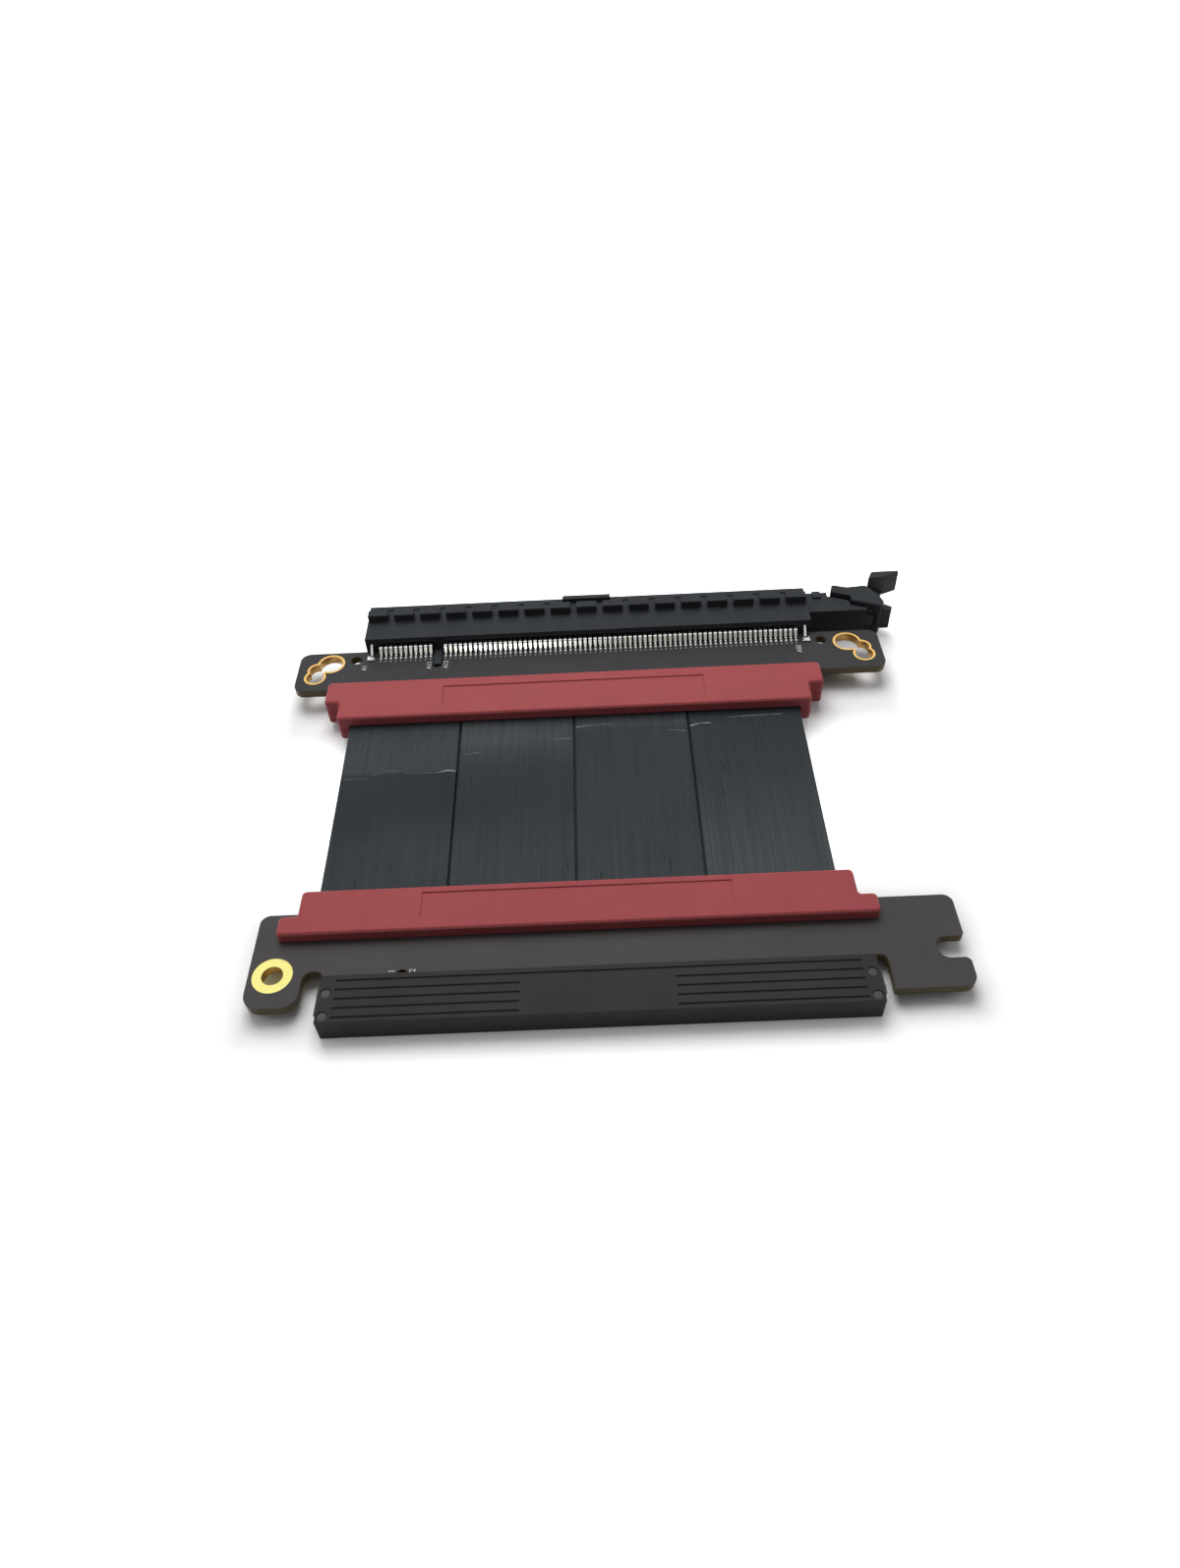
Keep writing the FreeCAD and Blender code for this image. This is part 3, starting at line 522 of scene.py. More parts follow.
class FinishShelf:
    """Materials made once for each finish."""

    def __init__(self) -> None:
        """Start with an empty shelf."""
        self.made: dict[str, bpy.types.Material] = {}

    def of(self, finish: Finish) -> bpy.types.Material:
        """Material of a finish, built at its first use.

        Args:
            finish: the finish.

        Returns:
            Its material.
        """
        if finish.name not in self.made:
            self.made[finish.name] = finish.material()
        return self.made[finish.name]


FINISHES = FinishShelf()


@dataclass(frozen=True)
class Box:
    """Box around a node of the solid model."""

    low: Vector
    high: Vector

    @classmethod
    def of(cls, node: str) -> "Box":
        """Box of one node at rest."""
        low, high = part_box(node)
        return cls(low / MM, high / MM)

    @property
    def middle(self) -> Vector:
        """Middle of the box."""
        return (self.low + self.high) / 2


def add_piece(name: str, mesh: bpy.types.Mesh, body: str, finish: Finish,
              stands_for: Sequence[str] = ()) -> bpy.types.Object:
    """Put a mesh in the scene as a dressed piece of the object.

    Args:
        name: name of the piece.
        mesh: its mesh, in metres in the part's frame.
        body: moving body that it rides on.
        finish: finish of its whole surface.
        stands_for: nodes of the solid model that it replaces.

    Returns:
        The new object.
    """
    piece = bpy.data.objects.new(name, mesh)
    bpy.context.scene.collection.objects.link(piece)
    mesh.materials.clear()
    mesh.materials.append(FINISHES.of(finish))
    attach(piece, body)
    if stands_for:
        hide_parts(*stands_for)
    LOG.info("%s: %d faces on %s", name, len(mesh.polygons), body)
    return piece


def clean_copy(node: str) -> bpy.types.Mesh:
    """Copy a node's mesh with shared corners and without edges inside flat faces.

    Args:
        node: name of the solid's node.

    Returns:
        The cleaned mesh.
    """
    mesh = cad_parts[node].data.copy()
    mesh.name = node + "_form"
    merge(mesh, TOUCHING)
    return mesh


def merge(mesh: bpy.types.Mesh, gap: float) -> None:
    """Join corners that lie together and take out the edges inside flat faces.

    Args:
        mesh: mesh to change.
        gap: distance in millimetres up to which corners are joined.
    """
    shape = bmesh.new()
    shape.from_mesh(mesh)
    bmesh.ops.remove_doubles(shape, verts=shape.verts, dist=gap * MM)
    bmesh.ops.dissolve_limit(shape, angle_limit=FLAT_ANGLE, verts=shape.verts, edges=shape.edges)
    shape.to_mesh(mesh)
    shape.free()


def soften(piece: bpy.types.Object, radius: float, steps: int = 3, angle: float = 30) -> None:
    """Round a piece's edges and shade it smoothly.

    Args:
        piece: object to round.
        radius: width of the rounding in millimetres.
        steps: segments across the rounding.
        angle: smallest edge angle in degrees that is rounded.
    """
    for polygon in piece.data.polygons:
        polygon.use_smooth = True
    bevel = piece.modifiers.new("edge_rounding", "BEVEL")
    bevel.width = radius * MM
    bevel.segments = steps
    bevel.limit_method = "ANGLE"
    bevel.angle_limit = math.radians(angle)
    bevel.use_clamp_overlap = False
    bevel.harden_normals = True
    even = piece.modifiers.new("even_shading", "WEIGHTED_NORMAL")
    even.keep_sharp = True


def moulding(node: str, body: str, finish: Finish, radius: float, steps: int = 3,
             form: Optional[bpy.types.Mesh] = None) -> bpy.types.Object:
    """Stand-in for a node with its own form, rounded edges and a finish.

    Args:
        node: name of the solid's node.
        body: moving body that it rides on.
        finish: finish of the piece.
        radius: edge rounding in millimetres.
        steps: segments across the rounding.
        form: mesh to use in place of a clean copy of the node.

    Returns:
        The new object.
    """
    piece = add_piece(node + "_dressed", form or clean_copy(node), body, finish, (node,))
    soften(piece, radius, steps)
    return piece


class MeshMaker:
    """Collects points in millimetres and faces, and makes one mesh of them."""

    def __init__(self) -> None:
        """Start with no points."""
        self.points: list[Point] = []
        self.faces: list[Face] = []

    def loft(self, rings: Sequence[Sequence[Point]], closed: bool = False) -> None:
        """Join rings of equal length by faces.

        Args:
            rings: closed rings of points, in order along the surface.
            closed: whether the last ring joins the first; otherwise both ends get a face.
        """
        base = len(self.points)
        count = len(rings[0])
        for ring in rings:
            self.points += ring
        for i in range(len(rings) if closed else len(rings) - 1):
            a = base + i * count
            b = base + (i + 1) % len(rings) * count
            for j in range(count):
                k = (j + 1) % count
                self.faces.append((a + j, a + k, b + k, b + j))
        if not closed:
            last = base + (len(rings) - 1) * count
            self.faces.append([base + j for j in reversed(range(count))])
            self.faces.append([last + j for j in range(count)])

    def mesh(self, name: str, smooth: bool = True) -> bpy.types.Mesh:
        """Make the mesh, with its faces turned outwards.

        Args:
            name: name of the mesh.
            smooth: whether the faces are shaded smoothly.

        Returns:
            The mesh in metres.
        """
        mesh = bpy.data.meshes.new(name)
        mesh.from_pydata([tuple(c * MM for c in point) for point in self.points], [], self.faces)
        shape = bmesh.new()
        shape.from_mesh(mesh)
        bmesh.ops.recalc_face_normals(shape, faces=shape.faces)
        shape.to_mesh(mesh)
        shape.free()
        for polygon in mesh.polygons:
            polygon.use_smooth = smooth
        return mesh


def crisp(piece: bpy.types.Object, angle: float = 40) -> None:
    """Keep edges sharper than an angle in degrees crisp on a smoothly shaded piece."""
    split = piece.modifiers.new("crisp_edges", "EDGE_SPLIT")
    split.split_angle = math.radians(angle)


def circle(x: float, y: float, z: float, radius: float, steps: int) -> list[Point]:
    """Points of a level circle."""
    turns = (2 * math.pi * i / steps for i in range(steps))
    return [(x + radius * math.cos(turn), y + radius * math.sin(turn), z) for turn in turns]


def dome(maker: MeshMaker, place: Point, radius: float, height: float, steps: int = 10,
         reach: float = 1.0) -> None:
    """Add a low round drop that stands on a face.

    Args:
        maker: mesh that it goes into.
        place: middle of its foot.
        radius: radius of its foot along X.
        height: how far it rises, negative below a lower face.
        steps: points around it.
        reach: its size along Y as a share of the size along X.
    """
    x, y, z = place
    rings = []
    for share in DOME_LEVELS:
        size = radius * math.sqrt(1 - share ** 2)
        ring = circle(0, 0, z + height * share, size, steps)
        rings.append([(x + px, y + py * reach, pz) for px, py, pz in ring])
    maker.loft(rings)


def carved(mesh: bpy.types.Mesh, tool: bpy.types.Mesh) -> bpy.types.Mesh:
    """Cut one mesh out of another.

    Args:
        mesh: mesh that is cut.
        tool: mesh of the hollow.

    Returns:
        A new mesh.
    """
    stock = bpy.data.objects.new("stock", mesh)
    cutter = bpy.data.objects.new("cutter", tool)
    for thing in (stock, cutter):
        bpy.context.scene.collection.objects.link(thing)
    cut = stock.modifiers.new("cut", "BOOLEAN")
    cut.operation = "DIFFERENCE"
    cut.solver = "EXACT"
    cut.object = cutter
    graph = bpy.context.evaluated_depsgraph_get()
    shape = bpy.data.meshes.new_from_object(stock.evaluated_get(graph))
    for thing in (stock, cutter):
        bpy.data.objects.remove(thing)
    return shape


@dataclass(frozen=True)
class Legend:
    """Contact number printed on a board, as a thin mesh."""

    name: str
    text: str
    place: Point
    height: float
    turn: float = 90
    line_height: float = 1.4
    half_thick: float = 0.006
    lift: float = 0.007
    curve_steps: int = 3

    def build(self) -> bpy.types.Object:
        """Print the number.

        Returns:
            The new object.
        """
        curve = bpy.data.curves.new(self.name, "FONT")
        curve.body = self.text
        curve.size = self.height * self.line_height * MM
        curve.extrude = self.half_thick * MM
        curve.align_x = "CENTER"
        curve.align_y = "CENTER"
        curve.resolution_u = self.curve_steps
        pen = bpy.data.objects.new(self.name, curve)
        mesh = bpy.data.meshes.new_from_object(pen)
        bpy.data.objects.remove(pen)
        spot = Vector(self.place) * MM + Vector((0, 0, self.lift * MM))
        mesh.transform(Matrix.Translation(spot) @ Matrix.Rotation(math.radians(self.turn), 4, "Z"))
        return add_piece(self.name, mesh, "cable", INK)


@dataclass(frozen=True)
class ContactRows:
    """Places of the contacts along X."""

    pitch: float = 1.0
    short: int = 11
    long: int = 71
    key_gap: float = 3.0

    def places(self) -> list[float]:
        """Places of one face's contacts.

        Returns:
            Middle of each contact along X, from the short group to the long one.
        """
        start = -(self.pitch * (self.short + self.long - 2) + self.key_gap) / 2
        second = start + self.pitch * (self.short - 1) + self.key_gap
        first = [start + self.pitch * i for i in range(self.short)]
        return first + [second + self.pitch * i for i in range(self.long)]


@dataclass
class Slot:
    """Card slot on the far board: housing, latch, spring contacts, solder tabs and pads.

    The contact's line is held in three runs: over the board, over the knee's level and over the tip's.
    Each station gives its place along Y from the housing's face, its rise over the run's level and the
    width of the strip.
    """

    board: Box = field(default_factory=lambda: Box.of("socket_board"))
    rows: ContactRows = field(default_factory=ContactRows)
    fit: float = 0.1
    housing_round: float = 0.085
    latch_round: float = 0.16
    thumb_cut: tuple[Span, ...] = (
        (56.5, 75.6), (57.15, 75.6), (59.12, 72.25), (61.4, 72.25), (62.4, 80.6), (56.5, 80.25))
    thumb_levels: Span = (2.6, 6.3)
    thumb_weld: float = 0.02
    strip: float = 0.2
    rise: float = 1.3
    foot_run: tuple[Point, ...] = (
        (-2.55, 0.0, 0.42), (-1.9, 0.0, 0.42), (-1.72, 0.05, 0.34), (-1.6, 0.17, 0.34), (-1.5, 0.34, 0.62))
    knee_run: tuple[Point, ...] = (
        (-1.0, -0.24, 0.62), (-0.88, -0.06, 0.66), (-0.66, 0.0, 0.66), (0.2, 0.1, 0.66))
    bow_run: tuple[Point, ...] = ((6.4, 0.95, 0.5), (6.9, 0.82, 0.46), (7.3, 0.85, 0.44), (8.3, 1.3, 0.42))
    lead_round: float = 0.03
    lead_edge: float = 50
    pad_half: float = 0.25
    pad_ends: Span = (-2.72, -1.6)
    pad_slant: Span = (0.03, 0.04)
    pad_height: float = 0.025
    via: float = 0.14
    via_height: float = 0.02
    via_row: float = -3.3
    toe: float = -2.42
    fillet: float = 0.235
    fillet_height: float = 0.3
    fillet_reach: float = 1.35
    lock_round: float = 0.06
    mound: float = 0.8
    mound_height: float = 0.42
    mound_reach: float = 1.05
    mound_waver: float = 0.05

    @property
    def face(self) -> float:
        """Place along Y of the housing's near face."""
        return self.board.high.y + self.fit

    @property
    def board_half(self) -> float:
        """Half of the board's thickness."""
        return (self.board.high.z - self.board.low.z) / 2

    def dress(self) -> None:
        """Build every piece of the slot."""
        moulding("socket_housing", "cable", SLOT_BLACK, self.housing_round)
        moulding("latch", "latch", LATCH_BLACK, self.latch_round, form=self.latch_form())
        for side in Side:
            self.build_leads(side)
            self.build_pads(side)
        for end in End:
            self.build_lock(end)

    def latch_form(self) -> bpy.types.Mesh:
        """Latch whose arm is cut down to a low web, so that the paddle stands free behind the nose.

        Returns:
            The latch's mesh.
        """
        tool = MeshMaker()
        tool.loft([[(x, y, z) for x, y in self.thumb_cut] for z in self.thumb_levels])
        form = carved(clean_copy("latch"), tool.mesh("thumb_cut_form", False))
        merge(form, self.thumb_weld)
        return form

    def stations(self) -> list[Point]:
        """Stations of one contact from foot to tip.

        Returns:
            Place along Y from the housing's face, height over the board's middle, and width of the strip.
        """
        foot, tip = self.board_half + self.strip / 2, self.strip / 2
        runs = ((foot, self.foot_run), (foot + self.rise, self.knee_run), (tip, self.bow_run))
        return [(y, level + up, width) for level, run in runs for y, up, width in run]

    def build_leads(self, side: Side) -> None:
        """Spring contacts of one face, each a bent strip that is narrower at its foot.

        Args:
            side: face of the board.
        """
        line = self.stations()
        maker = MeshMaker()
        for x in self.rows.places():
            rings = []
            for i, (y, z, width) in enumerate(line):
                before, after = line[max(i - 1, 0)], line[min(i + 1, len(line) - 1)]
                run = Vector((after[0] - before[0], after[1] - before[1])).normalized()
                across = Vector((-run.y, run.x)) * self.strip / 2
                ring = []
                for along, out in ((-1, -1), (1, -1), (1, 1), (-1, 1)):
                    height = self.board.middle.z + side.value * (z + out * across.y)
                    ring.append((x + along * width / 2, self.face + y + out * across.x, height))
                rings.append(ring)
            maker.loft(rings)
        piece = add_piece(f"spring_leads_{side.word}", maker.mesh(f"leads_{side.word}", False), "cable", TIN,
                          (f"socket_contacts_{side.word}",))
        soften(piece, self.lead_round, steps=2, angle=self.lead_edge)

    def build_pads(self, side: Side) -> None:
        """Tinned pads under the contacts' feet, with a solder fillet on each toe and a small via in front.

        Args:
            side: face of the board.
        """
        maker, fillets = MeshMaker(), MeshMaker()
        level = self.board.middle.z + side.value * self.board_half
        for x in self.rows.places():
            rings = []
            for narrower, shorter, height in ((0, 0, 0), (*self.pad_slant, self.pad_height)):
                half = self.pad_half - narrower
                near, far = self.pad_ends[0] + shorter, self.pad_ends[1] - shorter
                corners = ((-half, near), (half, near), (half, far), (-half, far))
                z = level + side.value * height
                rings.append([(x + across, self.face + y, z) for across, y in corners])
            maker.loft(rings)
            dome(maker, (x, self.face + self.via_row, level), self.via, side.value * self.via_height, steps=8)
            dome(fillets, (x, self.face + self.toe, level), self.fillet, side.value * self.fillet_height,
                 steps=12, reach=self.fillet_reach)
        mesh = maker.mesh(f"pads_{side.word}", False)
        add_piece(f"solder_pads_{side.word}", mesh, "cable", SOLDER)
        drops = fillets.mesh(f"fillets_{side.word}")
        add_piece(f"solder_fillets_{side.word}", drops, "cable", FILLET)

    def build_lock(self, end: End) -> None:
        """Solder tab of one end with the mound of solder that holds its foot.

        Args:
            end: end of the slot.
        """
        node = f"board_lock_{end.word}"
        moulding(node, "cable", TIN, self.lock_round)
        foot = Box.of(node)
        maker = MeshMaker()
        place = (foot.middle.x, foot.low.y + self.mound, self.board.high.z)
        dome(maker, place, self.mound, self.mound_height, steps=24, reach=self.mound_reach)
        shape = maker.mesh(f"mound_{end.word}")
        chance = random.Random(end.value)
        for vertex in shape.vertices:
            vertex.co.x += chance.uniform(-self.mound_waver, self.mound_waver) * MM
            vertex.co.y += chance.uniform(-self.mound_waver, self.mound_waver) * MM
        add_piece(f"solder_mound_{end.word}", shape, "cable", SOLDER)


@dataclass(frozen=True)
class Lobe:
    """One round lobe of a mounting hole: its place from the board's outer far corner, and its radius."""

    inset: float
    deep: float
    radius: float


@dataclass
class FarBoard:
    """Board under the slot, its gold-rimmed mounting holes and its contact numbers.

    The rim's lip is held as how far it stands out of the hole, and how deep it lies under the rim's top.
    """

    board: Box = field(default_factory=lambda: Box.of("socket_board"))
    rounding: float = 0.06
    lobes: tuple[Lobe, ...] = (Lobe(6.4, 3.4, 2.3), Lobe(3.9, 5.1, 1.55), Lobe(3.7, 7.3, 1.7))
    arc_steps: tuple[int, int, int, int] = (64, 24, 48, 16)
    rim: float = 0.45
    proud: float = 0.05
    lip: tuple[Span, ...] = ((0.45, 0.01), (0.42, 0.0), (0.06, 0.0), (0.02, 0.02), (0.0, 0.07))
    print_row: float = 60.4
    digit: float = 1.0
    numbers: tuple[tuple[str, float], ...] = (("A1", -44.5), ("A11", -31.6), ("A12", -28.3), ("A82", 41.7))

    def dress(self) -> None:
        """Build every piece of the far board."""
        moulding("socket_board", "cable", FAR_MASK, self.rounding, steps=2)
        for end in End:
            self.build_rim(end)
        for text, x in self.numbers:
            place = (x, self.print_row, self.board.high.z)
            Legend(f"contact_number_{text}", text, place, self.digit).build()

    def outline(self, end: End, extra: float) -> list[Span]:
        """Outline of the three joined lobes, with all lobes grown by the same amount.

        Args:
            end: end of the board.
            extra: growth of each radius.

        Returns:
            Points of the outline, always the same number.
        """
        corner = self.board.high
        spots = [Vector((corner.x - lobe.inset, corner.y - lobe.deep)) for lobe in self.lobes]
        large, centre, small = spots
        big, mid, low = (lobe.radius + extra for lobe in self.lobes)
        left_one, right_one = crossings(large, big, centre, mid)
        left_two, right_two = crossings(centre, mid, small, low)
        ways = ((large, left_one, right_one), (centre, right_one, right_two), (small, right_two, left_two),
                (centre, left_two, left_one))
        path = [point for way, steps in zip(ways, self.arc_steps) for point in arc(*way, steps)]
        return [(end.value * point.x, point.y) for point in path]

    def build_rim(self, end: End) -> None:
        """Gold lining of one mounting hole, with a flat rim on both faces.

        Args:
            end: end of the board.
        """
        half = (self.board.high.z - self.board.low.z) / 2
        profile = [(self.rim, half)] + [(extra, half + self.proud - drop) for extra, drop in self.lip]
        profile += [(extra, -height) for extra, height in reversed(profile)]
        maker = MeshMaker()
        middle = self.board.middle.z
        rings = [[(x, y, middle + height) for x, y in self.outline(end, extra)] for extra, height in profile]
        maker.loft(rings, closed=True)
        node = f"mount_plating_{end.word}"
        mesh = maker.mesh(node + "_form")
        piece = add_piece(f"mount_rim_{end.word}", mesh, "cable", RIM_GOLD, (node,))
        crisp(piece)


def crossings(first: Vector, big: float, second: Vector, small: float) -> tuple[Vector, Vector]:
    """Points where two circles cross.

    Args:
        first: middle of the first circle.
        big: its radius.
        second: middle of the second circle.
        small: its radius.

    Returns:
        The crossing on the left and on the right of the way from the first middle to the second.
    """
    way = second - first
    along = (way.length_squared + big ** 2 - small ** 2) / (2 * way.length)
    aside = math.sqrt(big ** 2 - along ** 2)
    ahead = way.normalized()
    left = Vector((-ahead.y, ahead.x))
    foot = first + ahead * along
    return foot + left * aside, foot - left * aside


def arc(middle: Vector, start: Vector, end: Vector, steps: int) -> list[Vector]:
    """Points of a counter-clockwise arc, without its last point.

    Args:
        middle: middle of the circle.
        start: first point of the arc.
        end: point where the arc ends.
        steps: number of points.

    Returns:
        The points.
    """
    spoke = start - middle
    first = math.atan2(spoke.y, spoke.x)
    last = math.atan2(end.y - middle.y, end.x - middle.x)
    turn = (last - first) % (2 * math.pi)
    angles = (first + turn * i / steps for i in range(steps))
    return [middle + Vector((math.cos(a), math.sin(a))) * spoke.length for a in angles]


@dataclass
class NearBoard:
    """Plug board with its screw ring, edge contacts and printed numbers.

    The ring's bore edge is held as how far it lies outside the bore, and how deep under the ring's top.
    """

    board: Box = field(default_factory=lambda: Box.of("plug_board"))
    ring: Box = field(default_factory=lambda: Box.of("ground_ring"))
    rounding: float = 0.06
    finger_round: float = 0.012
    hole: float = 1.66
    barrel: float = 0.15
    rim_slant: Span = (0.03, 0.015)
    bore_edge: tuple[Span, ...] = ((0.08, 0.0), (0.02, 0.03), (0.0, 0.09))
    ring_steps: int = 96
    print_row: float = -10.45
    digit: float = 1.0
    numbers: tuple[tuple[str, float], ...] = (("1", -31.6), ("2", -28.4))
    last_place: Span = (40.6, -11.2)
    last_digit: float = 0.6

    def dress(self) -> None:
        """Build every piece of the plug board."""
        moulding("plug_board", "cable", NEAR_MASK, self.rounding, steps=2)
        self.build_ring()
        for side in Side:
            node = f"edge_fingers_{side.word}"
            moulding(node, "cable", EDGE_GOLD, self.finger_round, steps=1)
        top = self.board.high.z
        for text, x in self.numbers:
            Legend(f"key_number_{text}", text, (x, self.print_row, top), self.digit).build()
        Legend("last_number", "82", (*self.last_place, top), self.last_digit).build()

    def build_ring(self) -> None:
        """Gold eyelet of the screw hole, with a wide flat rim on both faces."""
        outer = (self.ring.high.x - self.ring.low.x) / 2
        top = (self.ring.high.z - self.ring.low.z) / 2
        half = (self.board.high.z - self.board.low.z) / 2
        inset, drop = self.rim_slant
        profile = [(self.hole + self.barrel, half), (outer, half), (outer, top - drop), (outer - inset, top)]
        profile += [(self.hole + extra, top - deep) for extra, deep in self.bore_edge]
        profile += [(radius, -height) for radius, height in reversed(profile)]
        maker = MeshMaker()
        x, y, z = self.ring.middle
        rings = [circle(x, y, z + height, radius, self.ring_steps) for radius, height in profile]
        maker.loft(rings, closed=True)
        mesh = maker.mesh("ring_form")
        piece = add_piece("screw_ring", mesh, "cable", RING_GOLD, ("ground_ring",))
        crisp(piece)


@dataclass
class EdgeCap:
    """Pull-off cap with grip grooves and round ejector marks."""

    cap: Box = field(default_factory=lambda: Box.of("edge_cap"))
    rounding: float = 0.12
    mark_inset: float = 1.05
    marks: Span = (-14.87, -18.85)
    radius: float = 0.8
    deep: float = 0.2
    floor_gap: float = 0.06
    floor_rise: float = 0.07

    def dress(self) -> None:
        """Build the cap with its ejector marks, and the smooth floors of the marks."""
        plugs, floors = MeshMaker(), MeshMaker()
        reach = self.cap.high.x - self.mark_inset
        top = self.cap.high.z
        levels = (top - self.deep, top + self.deep)
        for x in (-reach, reach):
            for y in self.marks:
                plugs.loft([circle(x, y, level, self.radius, steps=40) for level in levels])
                place = (x, y, top - self.deep)
                dome(floors, place, self.radius - self.floor_gap, self.floor_rise, steps=32)
        form = carved(clean_copy("edge_cap"), plugs.mesh("ejector_plugs"))
        moulding("edge_cap", "edge_cap", CAP_BLACK, self.rounding, form=form)
        add_piece("ejector_floors", floors.mesh("ejector_floors_form"), "edge_cap", EJECTOR_GREY)


@dataclass
class Covers:
    """Red covers over both ends of the ribbons, with a shallow panel in each upper half."""

    rounding: float = 0.14
    panel_share: float = 0.2
    panel_half: float = 24.8
    panel_fit: float = 0.02
    sharp: float = 30

    def dress(self) -> None:
        """Build the four halves."""
        for joint in Joint:
            for side in Side:
                node = f"{joint.word}_cover_{side.word}"
                piece = moulding(node, "cable", RED, self.rounding)
                self.keep_panel_crisp(piece, Box.of(node).middle.x)

    def keep_panel_crisp(self, piece: bpy.types.Object, middle: float) -> None:
        """Round the panel's edges less than the others.

        Args:
            piece: the dressed half.
            middle: middle of the panel along X.
        """
        shape = bmesh.new()
        shape.from_mesh(piece.data)
        weight = shape.edges.layers.float.new("bevel_weight_edge")
        for edge in shape.edges:
            off = (abs(abs(v.co.x / MM - middle) - self.panel_half) for v in edge.verts)
            on_panel = all(distance < self.panel_fit for distance in off)
            sharp = edge.calc_face_angle(0) > math.radians(self.sharp)
            edge[weight] = (self.panel_share if on_panel else 1.0) if sharp else 0.0
        shape.to_mesh(piece.data)
        shape.free()
        piece.modifiers["edge_rounding"].limit_method = "WEIGHT"


def ramp(stops: Sequence[Span], at: float) -> float:
    """Value between stops, and level beyond the first and the last.

    Args:
        stops: places in rising order, each with its value.
        at: place to read.

    Returns:
        The value there.
    """
    for (a, low), (b, high) in zip(stops, stops[1:]):
        if at <= b:
            return low + (high - low) * max(0.0, (at - a) / (b - a))
    return stops[-1][1]


@dataclass(frozen=True)
class Crease:
    """Fold line across an upper ribbon, through points that hold X, Y and how pale the sheath is there."""

    ribbon: int
    height: float
    points: tuple[Point, ...]
    width: float = 0.075
    fade: float = 0.8
    near_run: float = 0.35
    far_run: float = 1.8
    margin: float = 0.3
    row_step: float = 0.08

    def at(self, x: float, y: float) -> Span:
        """Rise and scuff of the sheath at a place.

        Args:
            x: place across the cable.
            y: place along the cable.

        Returns:
            Rise in millimetres, and scuff from 0 to 1.
        """
        left, right = self.points[0][0], self.points[-1][0]
        shown = max(0.0, min(1.0, (x - left) / self.fade, (right - x) / self.fade))
        off = y - ramp([(px, py) for px, py, _ in self.points], x)
        pale = ramp([(px, tone) for px, _, tone in self.points], x)
        rise = self.height * shown * math.exp(-abs(off) / (self.near_run if off < 0 else self.far_run))
        return rise, pale * math.exp(-(off / self.width) ** 2)

    def rows(self) -> set[float]:
        """Rows of points that the fold needs.

        Returns:
            Their places along the cable.
        """
        places = [y for _, y, _ in self.points]
        low, high = min(places) - self.margin, max(places) + self.margin
        count = math.ceil((high - low) / self.row_step)
        return {low + (high - low) * i / count for i in range(count + 1)}


